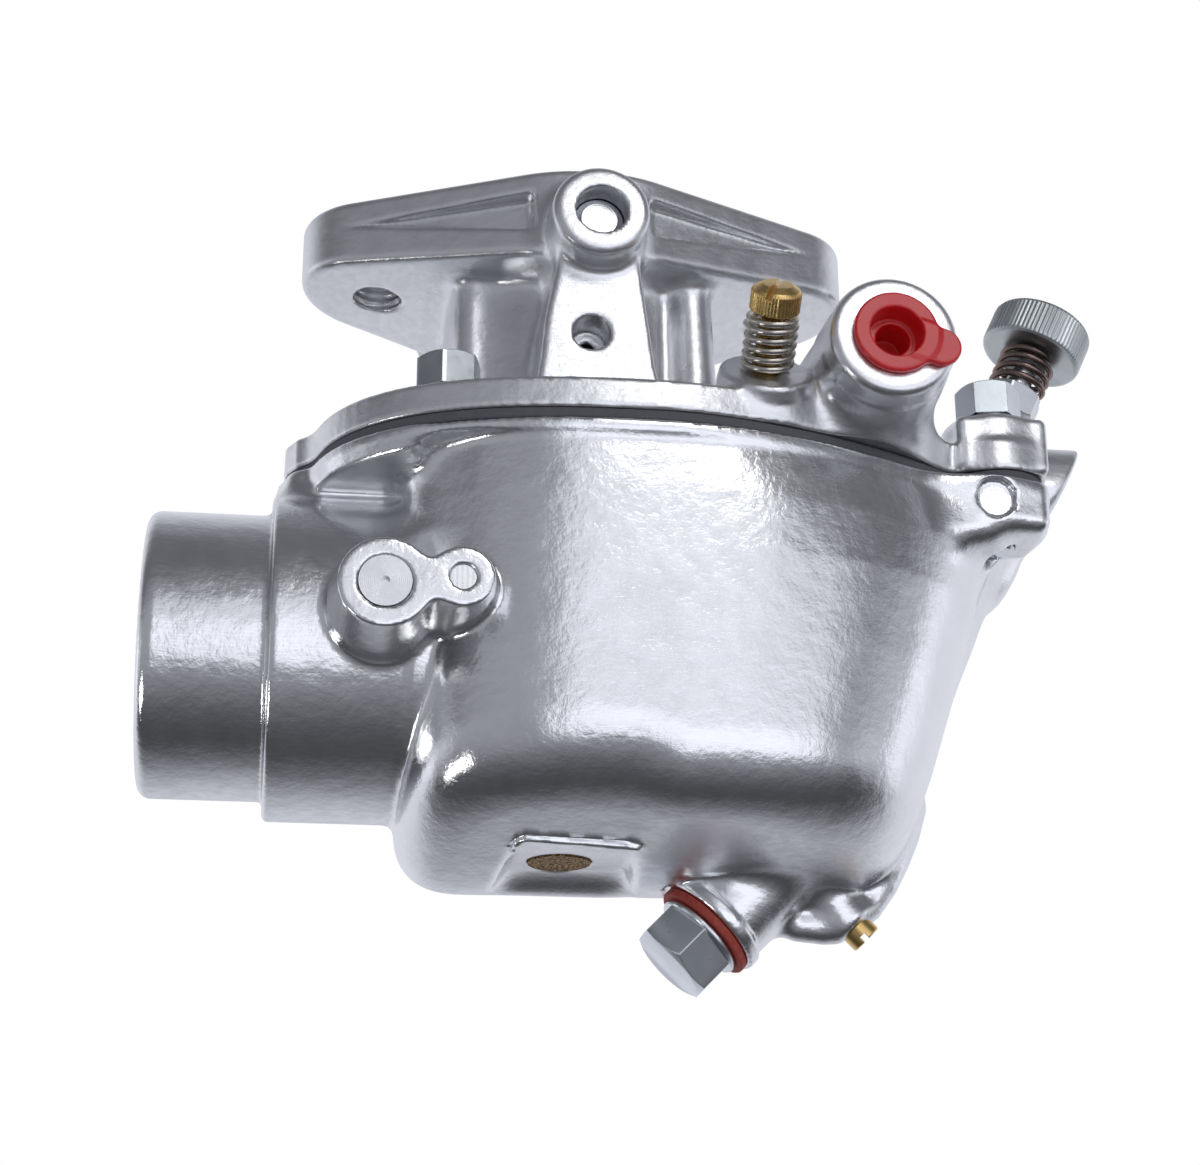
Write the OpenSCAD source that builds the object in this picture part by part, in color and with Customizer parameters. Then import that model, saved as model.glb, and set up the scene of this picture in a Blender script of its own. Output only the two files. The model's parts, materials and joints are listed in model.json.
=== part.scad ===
// Updraft single-barrel carburetor: two castings bolted at a gasket plane, with
// throttle and choke shafts, float gear, metering parts and adjusting needles.
// Origin: centre of the outlet flange face on the throttle bore axis, +Z up,
// X along the line of the two flange studs, the air inlet spigot points to -X.
// Front is -Y, rear (the lever side) is +Y, left is -X and right is +X.

/* [Outlet flange] */
// Centre distance of the two tapped stud holes
stud_spacing = 68.26; // [66:0.01:71]
// Flange thickness
flange_t = 10.6; // [9.5:0.1:11]
// Radius of the flange ends around the stud holes
flange_end_r = 12.7; // [11.5:0.1:13.5]
// Radius of the middle of the flange
flange_mid_r = 27.05; // [25:0.05:28.5]
// Radius of the stud holes
stud_hole_r = 4.0; // [3.5:0.05:4.5]

/* [Throttle] */
// Radius of the throttle bore
bore_r = 15.9; // [15.8:0.01:16]
// Height of the throttle shaft axis
throttle_z = -12.5; // [-12.6:0.1:-12.4]
// Radius of both shafts
shaft_r = 3.97; // [3.9:0.01:4]
// Radial running clearance of the shafts
run_gap = 0.06; // [0.03:0.01:0.09]
// Thickness of the throttle and choke plates
plate_t = 1.3; // [1.1:0.1:1.4]

/* [Air horn] */
// Outer radius of the air inlet spigot
horn_r = 22.9; // [22.7:0.05:23.1]
// Inner radius of the air horn
horn_bore_r = 20.2; // [20.1:0.05:20.3]
// Position of the spigot mouth along X
horn_x = -69.15; // [-72:0.05:-67]
// Height of the horn axis
horn_z = -77.94; // [-78.2:0.01:-77.7]
// Position of the choke shaft along X
choke_x = -32.7; // [-33:0.1:-32.4]

/* [Bowl and cover] */
// Height of the bowl's top face
bowl_top = -48.8; // [-48.9:0.1:-48.7]
// Gasket thickness
gasket_t = 1.6; // [1.4:0.1:1.6]
// Thickness of the cover plate
cover_t = 4.2; // [4:0.1:4.6]
// Wall thickness of the bowl
wall = 3; // [2.8:0.1:3.2]
// Tilt of the main needle from vertical, in degrees
needle_tilt = 25.08; // [25:0.01:25.2]
// Tilt of the idle needle from vertical, in degrees
idle_tilt = 47; // [46.5:0.1:47.5]

/* [Springs] */
// Wire diameter of the idle needle spring
idle_wire = 1.1; // [0.9:0.1:1.1]
// Wire diameter of the main needle spring
main_wire = 1.2; // [1:0.1:1.3]

/* [Hidden] */

stud_x = stud_spacing / 2;
cover_bottom = bowl_top + gasket_t;
cover_top = cover_bottom + cover_t;

// Cover bolts, one row each. Columns: x, y, top of the cover lug, its radius,
// bottom of the bowl lug, its radius, tip of the bolt
bolts = [
  [-22.8, -20, -40.6, 6.3, -64, 6.3, -63],
  [-22.8, 20, -40.6, 6.3, -64, 6.3, -63],
  [68.5, -13.5, -37.4, 7.6, -57.4, 8, -59.2],
  [62, 18.5, -37.4, 7.6, -57.4, 8, -59.2]];
LUG_TOP = 2;
LUG_R = 3;
LOW_LUG_BOTTOM = 4;
LOW_LUG_R = 5;
BOLT_TIP = 6;
bolt_r = 2.75;
bolt_head_h = 6;
lock_washer_t = 1.5;

// places shared by the castings and the parts that fit them
seat_x = 42;         // fuel inlet valve
inlet_x = 45;        // fuel inlet boss
inlet_z = -35;
pivot_x = 53;        // float pin
pivot_z = -56.2;
needle_y = 5;        // plane of the main needle
idle_tube_x = -1;
idle_tube_y = -24.4;
idle_well_r = 1.75;
filter_x = -3;
filter_y = -4;
horn_plug_x = -21.2; // ball plug in the horn's front
horn_plug_z = -76.6;
cover_plug_y = 13.5; // ball plug in the cover's right rear boss
cover_plug_z = -36.6;
throttle_seal_y = 28;
plate_screw_hole_r = 1.52;
lever_gap = 0.03;    // fit of levers and seals on the shafts
flat_depth = 0.9;    // flat on the shaft ends

// colours used by more than one node
brass = [0.79, 0.63, 0.30];
dark_brass = [0.80, 0.60, 0.25];
screw_grey = [0.75, 0.76, 0.74];
needle_grey = [0.74, 0.75, 0.76];
retainer_grey = [0.72, 0.72, 0.72];
ball_grey = [0.76, 0.77, 0.78];
spring_grey = [0.62, 0.60, 0.57];
seal_black = [0.18, 0.18, 0.18];
washer_red = [0.62, 0.24, 0.20];

// ---------------------------------------------------------------- helpers
function sign_of(value) = value < 0 ? -1 : 1; // 1 at zero too

// Egg-shaped outline: left end, widest point and right end on the X axis
function egg(left, centre, right, half_width, points = 48) =
  [for (i = [0:points - 1])
     let (angle = 360 * i / points, c = cos(angle), s = sin(angle),
          exponent = c < 0 ? 2.6 : 1.6,
          reach = c < 0 ? centre - left : right - centre)
     [centre + reach * sign_of(c) * pow(abs(c), 2 / exponent),
      half_width * sign_of(s) * pow(abs(s), 2 / exponent)]];

// Egg-shaped slabs. Section columns: z, thickness, left, centre, right, half width
module slabs(sections, inset = 0)
  for (s = sections)
    translate([0, 0, s[0]]) linear_extrude(s[1])
      polygon(egg(s[2] + inset, s[3], s[4] - inset, s[5] - inset));

// local Z turned to +Y
module along_y(x, y, z)
  translate([x, y, z]) rotate([-90, 0, 0]) children();

// cylinders along one axis, given by their two ends
module cyl_x(y, z, start, end, radius, facets = 96)
  translate([start, y, z]) rotate([0, 90, 0])
    cylinder(r = radius, h = end - start, $fn = facets);
module cyl_y(x, z, start, end, radius, facets = 64)
  along_y(x, start, z) cylinder(r = radius, h = end - start, $fn = facets);
module cyl_z(x, y, start, end, radius, facets = 64)
  translate([x, y, start]) cylinder(r = radius, h = end - start, $fn = facets);
module hex_z(x, y, start, end, across_flats)
  cyl_z(x, y, start, end, across_flats / 2 / cos(30), 6);

// cylinder and cone on the local Z axis
module rod(bottom, height, radius, facets = 48)
  translate([0, 0, bottom]) cylinder(r = radius, h = height, $fn = facets);
module cone(bottom, height, bottom_r, top_r, facets = 48)
  translate([0, 0, bottom]) cylinder(r1 = bottom_r, r2 = top_r, h = height, $fn = facets);

module ring(inner_r, outer_r, bottom, top)
  translate([0, 0, bottom]) difference() {
    cylinder(r = outer_r, h = top - bottom, $fn = 64);
    rod(-1, top - bottom + 2, inner_r, 64);
  }

// round-wire helix; bottom and top are heights of the wire's centre
module coil(radius, wire, bottom, top, turns) {
  turn_steps = 14;
  sides = 8;
  steps = turns * turn_steps;
  points = [for (i = [0:steps])
    let (turn = 360 * i / turn_steps, z = bottom + (top - bottom) * i / steps)
      for (j = [0:sides - 1])
        let (around = 360 * j / sides, reach = radius + wire / 2 * cos(around))
          [reach * cos(turn), reach * sin(turn), z + wire / 2 * sin(around)]];
  skin = [for (i = [0:steps - 1]) for (j = [0:sides - 1])
    let (next = (j + 1) % sides, here = i * sides, ahead = (i + 1) * sides)
      each [[here + j, ahead + j, ahead + next], [here + j, ahead + next, here + next]]];
  start_cap = [for (j = [0:sides - 1]) j];
  end_cap = [for (j = [sides - 1:-1:0]) steps * sides + j];
  polyhedron(points = points, faces = concat(skin, [start_cap], [end_cap]));
}

// main needle axis, local Z up along the needle, 0 at its seat
module on_main()
  translate([38, needle_y, -110]) rotate([0, needle_tilt, 0]) children();
// idle needle axis, local Z outwards, 0 at the boss face
module on_idle()
  translate([26.5, -32, -37.5]) rotate([idle_tilt, 0, 0]) children();
// drain plug axis, local Z outwards, 0 at the boss face
module on_drain()
  translate([21.1, 0, -119.9]) rotate([0, -135, 0]) children();
// passage plug axis, local Z outwards, 0 at the boss face
module on_passage()
  translate([44.6, 0, -118.9]) rotate([0, 135, 0]) children();
// nozzle axis, 0 at the tip, local -Z towards the bowl
module on_nozzle()
  translate([0, 0, -58]) rotate([0, -15.64, 0]) children();

// ---------------------------------------------------------------- outlines
cover_egg = egg(-44.6, 10, 74, 37.2, 72);
cover_left = -48.3;
// left end of the cover outline, [x, y]
cover_nose = [[-30, -19.5], [-37.5, -13.4], [-46.6, -7.6], [cover_left, 0],
              [cover_left, 0.1], [-46.6, 7.6], [-37.5, 13.4], [-30, 19.5]];

// lobes round the bolts and the right end
module outline_lobes() {
  for (b = bolts) translate([b.x, b.y]) circle(r = b[LUG_R] + 0.6, $fn = 64);
  translate([66, 4]) circle(r = 13.2, $fn = 64);
}

module cover_outline() {
  polygon(cover_egg);
  polygon(cover_nose);
  outline_lobes();
}

// the cover's egg, its left end drawn out to a blunt nose
module gasket_outline() {
  polygon([for (p = cover_egg)
    p.x < -41 && abs(p.y) < 12.5
      ? [cover_left + 0.012 * p.y * p.y + 0.0002 * pow(p.y, 4), p.y]
      : p]);
  outline_lobes();
}

// ---------------------------------------------------------------- throttle body
// two-stud flange: a middle disc and two end discs joined by tangent sides
module flange_blank() {
  side_sin = (flange_mid_r - flange_end_r) / stud_x;
  side_cos = sqrt(1 - side_sin * side_sin);
  inset = 0.03; // keeps the side polygon just inside the discs
  end_reach = flange_end_r - inset;
  mid_reach = flange_mid_r - inset;
  groove_r = flange_mid_r - 2.6;
  difference() {
    translate([0, 0, -flange_t]) linear_extrude(flange_t) {
      circle(r = flange_mid_r, $fn = 128);
      for (side = [-1, 1])
        translate([side * stud_x, 0]) circle(r = flange_end_r, $fn = 96);
      polygon([for (q = [[1, 1], [-1, 1], [-1, -1], [1, -1]])
        let (end = [q.x * (stud_x + end_reach * side_sin), q.y * end_reach * side_cos],
             mid = [q.x * mid_reach * side_sin, q.y * mid_reach * side_cos])
        each q.x * q.y > 0 ? [end, mid] : [mid, end]]);
    }
    // relief groove along each straight side
    for (mx = [-1, 1], my = [-1, 1]) scale([mx, my, 1])
      translate([groove_r * side_sin, groove_r * side_cos, -flange_t * 0.68])
        rotate([0, 0, -asin(side_sin)])
          translate([-12, 0, 0]) cube([12 + 25, 8, flange_t * 0.36]);
  }
}

// ribs under the shaft bosses, widening towards the cover, [x, z]
rib_profile = [
  [-6.6, throttle_z - 5], [-7.2, -24], [-8.6, -33], [-10, -42], [-15, cover_bottom],
  [16, cover_bottom], [10.6, -42], [8.6, -33], [7.8, -24], [7.6, throttle_z - 5]];

module throttle_neck() {
  // neck, round with flat pads towards both shaft bosses
  cyl_z(0, 0, cover_bottom, -5, 19.6, 96);
  translate([-19, -14, cover_top - 1]) cube([38, 28, -flange_t - cover_top + 2]);
  // throttle shaft bosses, front and rear
  cyl_y(0, throttle_z, -36, 0, 7.9);
  cyl_y(0, throttle_z, 0, 31, 7.9);
  // front rib, and a thinner one at the rear
  for (i = [0, 1]) mirror([0, i, 0])
    translate([-1.3, -15, 0]) rotate([90, 0, 0])
      linear_extrude(15.2 - i * 4) polygon(rib_profile);
}

module idle_boss() {
  intersection() {
    on_idle() rod(-11, 9.5, 6.4, 64);
    translate([10, -45, cover_bottom]) cube([34, 34, 20]);
  }
  on_idle() rod(-2.4, 2.4, 7.5, 64);
  // foot
  intersection() {
    on_idle() rod(-18, 15, 9.5, 64);
    translate([10, -40, cover_top - 1]) cube([34, 34, 9]);
  }
}

module throttle_body_solid() {
  flange_blank();
  throttle_neck();
  // cover plate and bolt lugs
  translate([0, 0, cover_bottom]) linear_extrude(cover_t) cover_outline();
  for (b = bolts) cyl_z(b.x, b.y, cover_bottom, b[LUG_TOP], b[LUG_R]);
  // fuel inlet boss, drafted, and the gallery behind it
  along_y(inlet_x, -42, inlet_z) cylinder(r1 = 10.15, r2 = 12, h = 24, $fn = 96);
  cyl_y(44.4, -37.5, -20, 6, 8.2);
  cyl_z(seat_x, 0, cover_bottom, -34, 9.6);
  idle_boss();
  // main needle gland boss
  intersection() {
    on_main() rod(60, 33, 5.9, 64);
    translate([50, -20, cover_bottom]) cube([50, 50, 60]);
  }
  // boss at the right rear, its end cut at a slant
  intersection() {
    cyl_x(cover_plug_y, cover_plug_z, 60, 98, 8);
    translate([97.4, 0, -20]) rotate([0, needle_tilt + 2, 0])
      translate([-60, -10, -60]) cube([60, 60, 80]);
  }
  // float hinge posts
  for (side = [-1, 1])
    translate([pivot_x - 3.2, side > 0 ? 6.4 : -9.4, pivot_z - 3])
      cube([6.4, 3, cover_bottom - pivot_z + 4]);
  // pad the throttle stop screw rests on
  translate([-16.5, 8, -32]) cube([7.5, 27, 8]);
  translate([-16.5, 8, -46]) cube([7.5, 14, 16]);
}

module throttle_body_cuts() {
  cyl_z(0, 0, cover_bottom - 1, 1, bore_r, 128);
  for (side = [-1, 1]) cyl_z(side * stud_x, 0, -flange_t - 1, 1, stud_hole_r);
  // throttle shaft bore, and the seal recess in the rear boss
  cyl_y(0, throttle_z, -37, 32, shaft_r + run_gap);
  cyl_y(0, throttle_z, throttle_seal_y, 32, 6.05);
  // stepped cross hole in the front rib
  cyl_y(idle_tube_x, -31.5, -31, -25, 3);
  cyl_y(idle_tube_x, -31.5, -26, -15, 1.2);
  // bolt clearance holes and the spot faces over the lugs
  for (b = bolts) {
    cyl_z(b.x, b.y, cover_bottom - 1, b[LUG_TOP] + 1, 3.1);
    cyl_z(b.x, b.y, b[LUG_TOP], b[LUG_TOP] + 20, 6.2);
  }
  // fuel inlet, gallery and valve seat thread
  cyl_y(inlet_x, inlet_z, -43, -28, 5.6);
  cyl_y(44.4, -37.5, -29, 0, 2.6);
  cyl_z(seat_x, 0, cover_bottom - 1, -38.6, 4.95);
  // idle needle bore and its seat
  on_idle() rod(-10.2, 12, 2.45);
  on_idle() cone(-12.2, 2.01, 0.5, 2.45);
  // main needle clearance, then the packing bore with the nut thread
  on_main() rod(60, 40, 2.9);
  on_main() rod(80, 20, 4.4);
  // idle tube passage
  cyl_z(idle_tube_x, idle_tube_y, cover_bottom - 1, -31, idle_well_r, 32);
  // float pin holes
  cyl_y(pivot_x, pivot_z, -12, 12, 1.27, 32);
  // ball plug hole in the right rear boss
  cyl_x(cover_plug_y, cover_plug_z, 80, 104, 2.6, 48);
  // slot in the cover's underside
  translate([10, 20, cover_bottom - 1]) cube([22, 8, 3]);
}

module throttle_body() {
  color([0.80, 0.81, 0.82])
  difference() {
    throttle_body_solid();
    throttle_body_cuts();
  }
}

// ---------------------------------------------------------------- fuel bowl
// outside of the bowl, columns as for slabs()
shell_sections = [
  [bowl_top - 1, 1, -28, 10, 66, 36.6],
  [-70, 1, -28, 10, 62, 36.2],
  [-90, 1, -27, 10, 54, 35.2],
  [-101, 1, -25, 10, 48, 33.4],
  [-108.5, 1, -21.5, 10, 43, 29.4],
  [-113.5, 1, -14, 10, 36, 21.5],
  [-115.6, 0.6, -6, 12, 31, 14]];
// float chamber before it is inset by the wall, same columns
chamber_sections = [
  [bowl_top, 2, -28, 10, 65, 36.6],
  [-70, 1, -28, 10, 61, 36.2],
  [-90, 1, -27, 10, 53, 35.2],
  [-101, 1, -24, 10, 47, 33],
  [-107, 1, -18, 10, 40, 27],
  [-109.5, 1, -12, 10, 34, 20]];
bend_x = -8; // where the horn bore turns upwards

module bowl_shell()
  hull() {
    slabs(shell_sections);
    on_main() translate([0, 0, 8]) sphere(r = 12, $fn = 32);
    on_main() translate([0, 0, 54]) sphere(r = 11, $fn = 32);
  }

// flange round the bowl's top, thicker at its left end
module bowl_flange()
  intersection() {
    translate([0, 0, bowl_top - 4.6]) linear_extrude(4.6) cover_outline();
    union() {
      translate([-60, -60, bowl_top - 4.6]) cube([33, 120, 6]);
      translate([-60, -60, bowl_top - 3.2]) cube([160, 120, 6]);
    }
  }

module air_bend(upper_r, lower_r) {
  translate([bend_x, 0, horn_z]) sphere(r = upper_r, $fn = 96);
  translate([-4, 0, horn_z - 8]) sphere(r = lower_r, $fn = 96);
}

// walls of the air passage that stand in the float chamber
module passage_outer() {
  cyl_x(0, horn_z, -30, bend_x, horn_bore_r + 2.6, 96);
  air_bend(horn_bore_r + 2.6, horn_bore_r + 2.5);
  cyl_z(0, 0, horn_z, bowl_top, 19.5, 96);
  cyl_z(0, 0, bowl_top - 5, bowl_top + 1, 22, 96);
}

module fuel_bowl_solid() {
  bowl_shell();
  bowl_flange();
  // lugs below the flange
  for (b = bolts) cyl_z(b.x, b.y, b[LOW_LUG_BOTTOM], bowl_top, b[LOW_LUG_R]);
  // air horn
  cyl_x(0, horn_z, horn_x, -45, horn_r, 128);
  cyl_x(0, horn_z, -49.5, bend_x, 26, 128);
  // web between horn and flange
  intersection() {
    translate([-47.5, -13, -75]) cube([25, 26, 26]);
    cyl_x(0, -66, -48, -20, 26, 96);
  }
  // choke shaft bosses
  for (side = [-1, 1])
    translate([choke_x, side * 38, horn_z]) rotate([-side * 90, 0, 0])
      cone(-18, 18, 8.6, 6.1, 64);
  // small plug boss with its neck
  translate([horn_plug_x, -37.4, horn_plug_z]) rotate([90, 0, 0])
    cone(-10, 10, 5.2, 3.9);
  translate([-31, -37, -79.8]) cube([9, 12, 4.8]);
  // drain and passage plug bosses
  on_drain() rod(-20, 20.5, 8.8, 64);
  on_passage() rod(-16, 16, 4.3);
  // fin along the lower right edge
  translate([34, -1.5, -118]) rotate([0, -44, 0]) cube([18, 3, 5]);
}

// float chamber, less the walls and bosses left standing in it
module float_chamber()
  difference() {
    hull() {
      slabs(chamber_sections, wall);
      on_main() translate([0, 0, 30]) sphere(r = 12 - wall, $fn = 32);
      on_main() translate([0, 0, 70]) sphere(r = 12 - wall, $fn = 32);
    }
    passage_outer();
    translate([0, 0, -20])
      for (b = bolts) cyl_z(b.x, b.y, -46, bowl_top + 25, b[LUG_R]);
    on_main() rod(-4, 14, 6.5, 64);
    on_nozzle() rod(-62, 25, 7.2, 64);
    translate([10, 2, -114]) cube([30, 8, 7]);
    on_drain() rod(-22, 22, 8, 64);
    cyl_z(idle_tube_x, idle_tube_y, -112, bowl_top + 3, 4, 48);
  }

// air passage, less the nozzle boss that stands in it
module air_passage()
  difference() {
    union() {
      cyl_x(0, horn_z, horn_x - 1, bend_x, horn_bore_r, 128);
      air_bend(horn_bore_r, horn_bore_r);
      cyl_z(0, 0, horn_z, bowl_top + 1, 17.05, 96);
    }
    on_nozzle() rod(-60, 15, 6, 64);
  }

module fuel_bowl_holes() {
  // venturi lip recess
  cyl_z(0, 0, bowl_top - 1.6, bowl_top + 1, 19.05, 96);
  // choke shaft bore and its seal recess at the rear
  cyl_y(choke_x, horn_z, -39, 39, shaft_r + run_gap);
  cyl_y(choke_x, horn_z, 34.6, 39, 5.55);
  // plug hole in the small boss
  cyl_y(horn_plug_x, horn_plug_z, -38.5, -31, 1.95, 48);
  // bolt threads
  for (b = bolts) cyl_z(b.x, b.y, -65, bowl_top + 1, bolt_r + 0.02);
  // nozzle thread, collar recess and feed hole
  on_nozzle() rod(-54, 10, 3.95);
  on_nozzle() rod(-45.02, 8, 5.6);
  on_nozzle() rod(-54, 12, 1.5, 32);
  // gallery from the nozzle towards the jet, and the jet's bore
  translate([14.6, 0, -109.8]) rotate([0, 90, 12]) rod(-1, 25, 1.3, 32);
  on_main() rod(-2.5, 34, 3.05);
  // drain: spot face, thread and hole
  on_drain() cylinder(r = 9.1, h = 12, $fn = 64);
  on_drain() rod(-11, 12, 4.95, 64);
  on_drain() rod(-19, 12, 3.4);
  // passage plug hole
  on_passage() rod(-9, 10, 2.02);
  // drip filter: recess below, seat and hole above it
  translate([-9.5, -9.6, -120]) cube([24, 11.2, 9]);
  cyl_z(filter_x, filter_y, -120, -108, 5, 48);
  cyl_z(filter_x, filter_y, -109, -100, 1.5, 32);
  // idle tube well and the cross hole near its foot
  cyl_z(idle_tube_x, idle_tube_y, -108, bowl_top + 1, idle_well_r, 32);
  cyl_y(idle_tube_x, -103.5, -29.5, idle_tube_y, 1.1, 32);
}

module fuel_bowl() {
  color([0.82, 0.83, 0.84])
  difference() {
    fuel_bowl_solid();
    float_chamber();
    air_passage();
    fuel_bowl_holes();
  }
}

module bowl_gasket() {
  color([0.22, 0.22, 0.24])
  translate([0, 0, bowl_top]) linear_extrude(gasket_t) difference() {
    gasket_outline();
    circle(r = 16.4, $fn = 96);
    // chamber opening, less the rims round the bore, bolts and idle tube
    difference() {
      polygon(egg(-18.5, 10, 61, 33.2));
      circle(r = 22, $fn = 96);
      for (b = bolts) translate([b.x, b.y]) circle(r = b[LUG_R], $fn = 64);
      translate([idle_tube_x, idle_tube_y]) circle(r = 4, $fn = 48);
    }
    for (b = bolts) translate([b.x, b.y]) circle(r = 3, $fn = 48);
    translate([67, needle_y]) circle(r = 5.5, $fn = 64);
    translate([idle_tube_x, idle_tube_y]) circle(r = idle_well_r, $fn = 32);
  }
}

// ---------------------------------------------------------------- air passage
module venturi() {
  throat_r = 11.6;
  throat_depth = 11.4;
  lip = [[18.95, 0], [18.95, -1.5], [17, -1.5], [17, -23], [16.4, -23]];
  entry = [for (i = [0:8]) let (f = i / 8)
    [throat_r + 4.6 * pow(1 - f, 2), -22.4 + 11 * f]];
  outlet = [for (i = [1:8]) let (f = i / 8)
    [throat_r + 4.3 * f * f, -throat_depth + throat_depth * f]];
  color([0.78, 0.79, 0.80])
  translate([0, 0, bowl_top]) rotate_extrude($fn = 128)
    polygon(concat(lip, entry, outlet));
}

module main_nozzle() {
  color(brass)
  on_nozzle() difference() {
    union() {
      rod(-53, 9.5, 3.9);
      hex_z(0, 0, -44, -41, 8.6);
      rod(-41.5, 41.5, 2.9);
    }
    rod(-54, 56, 1.3, 32);
    // cross drillings, each turned from the last
    for (i = [0:3])
      translate([0, 0, -36 + 7 * i]) rotate([90, 0, 40 * i])
        cylinder(r = 0.5, h = 10, center = true, $fn = 16);
  }
}

module nozzle_washer() {
  color(washer_red) on_nozzle() ring(3.97, 4.9, -45, -44);
}

module idle_tube() {
  tube_length = 62;
  head_length = 6;
  color(brass)
  translate([idle_tube_x, idle_tube_y, -106]) difference() {
    union() {
      cylinder(r = 1.1, h = tube_length, $fn = 32);
      rod(tube_length - head_length, head_length, 1.72, 32);
    }
    rod(-1, tube_length + 2, 0.45, 24);
  }
}

module main_jet() {
  hole_r = 0.9;
  color(brass)
  on_main() difference() {
    rod(-2.4, 6.4, 3.0);
    rod(-3, 8, hole_r, 32);
    cone(0, 4.01, hole_r, 2.6);
  }
}

// ---------------------------------------------------------------- shaft details
// slot through a shaft for its plate
module plate_slot(x, z, passage_r)
  translate([x - 6, -passage_r - 0.1, z - plate_t / 2 - 0.03])
    cube([12, 2 * passage_r + 0.2, plate_t + 0.06]);

// the two plate screw holes, at screw_y either side of the middle
module plate_screw_holes(x, z, screw_y, half_length)
  for (side = [-1, 1])
    cyl_z(x, side * screw_y, z - half_length, z + half_length, plate_screw_hole_r, 32);

module plate_disc(x, z, passage_r)
  cyl_z(x, 0, z - plate_t / 2, z + plate_t / 2, passage_r - 0.12, 128);

module plate_screw() { // local Z up, 0 at the shaft's centre
  difference() {
    union() {
      rod(-4.6, 9, 1.5, 32);
      rod(3.98, 1.7, 2.6);
    }
    translate([-3, -0.35, 5.0]) cube([6, 0.7, 2]);
  }
}

// flat on the right of a shaft's rear end
module shaft_flat(x, y, z, depth)
  translate([x + shaft_r - depth, y, z - 6]) cube([4, 14, 12]);

// lever hole with a flat to match the shaft
module lever_hole(x, z, face_y)
  difference() {
    cyl_y(x, z, face_y - 3, face_y + 9, shaft_r + lever_gap);
    shaft_flat(x, face_y - 4, z, flat_depth - 0.03);
  }

module shaft_seal(x, y, z, outer_r)
  color(seal_black) along_y(x, y, z) ring(shaft_r + lever_gap, outer_r, 0, 2.2);
module seal_retainer(x, y, z, outer_r)
  color(retainer_grey) along_y(x, y, z) ring(shaft_r + 0.08, outer_r, 0, 0.7);

// ---------------------------------------------------------------- throttle
throttle_screw_y = 8;
shaft_front_y = -31.6;
lever_y = 36;           // front face of the throttle lever hub
clamp_y = lever_y + 3.5; // clamp screw axis
clamp_z = throttle_z + 9.2;
stop_x = -13;           // stop screw axis
stop_y = 31.8;
stop_angle = 147.6;     // stop arm, up to the left in the XZ plane
rod_angle = -30;        // throttle rod arm, down to the right
rod_arm_length = 26;

module throttle_shaft() {
  color([0.70, 0.71, 0.73])
  difference() {
    union() {
      cyl_y(0, throttle_z, shaft_front_y, 45, shaft_r);
      translate([0, shaft_front_y, throttle_z]) rotate([90, 0, 0])
        cylinder(r1 = shaft_r, r2 = 2.9, h = 0.9, $fn = 48);
    }
    plate_slot(0, throttle_z, bore_r);
    plate_screw_holes(0, throttle_z, throttle_screw_y, 6);
    shaft_flat(0, 33, throttle_z, flat_depth);
  }
}

module throttle_plate() {
  color([0.79, 0.65, 0.36])
  difference() {
    plate_disc(0, throttle_z, bore_r);
    plate_screw_holes(0, throttle_z, throttle_screw_y, 3);
    // small hole near the front edge
    translate([0, -14.6, throttle_z - 3]) cylinder(r = 0.8, h = 6, $fn = 24);
  }
}

module throttle_plate_screws() {
  color(screw_grey)
  for (side = [-1, 1]) translate([0, side * throttle_screw_y, throttle_z]) plate_screw();
}

// local X along a direction of the XZ plane, at the throttle shaft
module lever_arm(angle)
  translate([0, 0, throttle_z]) rotate([0, -angle, 0]) children();

module throttle_lever_solid() {
  cyl_y(0, throttle_z, lever_y, lever_y + 7, 7.2);
  // stop arm with a rounded end
  lever_arm(stop_angle) {
    translate([0, lever_y + 1, -4.4]) cube([22, 4.5, 8.8]);
    cyl_y(23.5, 0, lever_y + 1, lever_y + 5.5, 5, 48);
  }
  // ear bent forwards for the stop screw, and its web
  translate([-17, 28.2, -17]) cube([8, 9.3, 8]);
  translate([-17, lever_y + 0.6, -17]) cube([8, 4, 12]);
  // throttle rod arm
  lever_arm(rod_angle) {
    translate([0, lever_y + 2, -4]) cube([25, 4, 8]);
    cyl_y(rod_arm_length, 0, lever_y + 2, lever_y + 6, 5.4, 48);
  }
  // clamp ears
  translate([-3.4, lever_y, throttle_z + 4]) cube([8.8, 7, 8.2]);
}

module throttle_lever() {
  color([0.66, 0.70, 0.68])
  difference() {
    throttle_lever_solid();
    lever_hole(0, throttle_z, lever_y);
    // clamp slit, screw hole
    translate([0.5, lever_y - 1, throttle_z + 2]) cube([1.0, 9, 14]);
    cyl_x(clamp_y, clamp_z, -6, 9, 1.75, 32);
    // rod hole
    lever_arm(rod_angle)
      cyl_y(rod_arm_length, 0, lever_y - 1, lever_y + 11, 2.6, 48);
    // stop screw hole
    cyl_z(stop_x, stop_y, -40, -5, 1.77, 32);
  }
}

module throttle_lever_screw() {
  color(screw_grey)
  difference() {
    union() {
      cyl_x(clamp_y, clamp_z, -4.5, 6, 1.7, 32);
      cyl_x(clamp_y, clamp_z, 5.42, 8.4, 3.0, 48);
    }
    translate([7.6, lever_y - 1, clamp_z - 0.4]) cube([1.6, 9, 0.8]);
  }
}

module throttle_stop_screw() {
  color([0.75, 0.77, 0.73])
  difference() {
    union() {
      cyl_z(stop_x, stop_y, -23.95, -4, 1.72, 32);
      cyl_z(stop_x, stop_y, -5, -1.6, 3.3, 48);
    }
    translate([stop_x - 6, stop_y - 0.45, -2.8]) cube([12, 0.9, 2]);
  }
}

module throttle_stop_spring() {
  color(spring_grey)
  translate([stop_x, stop_y, 0])
    coil(radius = 2.5, wire = 0.7, bottom = -8.6, top = -5.4, turns = 3);
}

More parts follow.
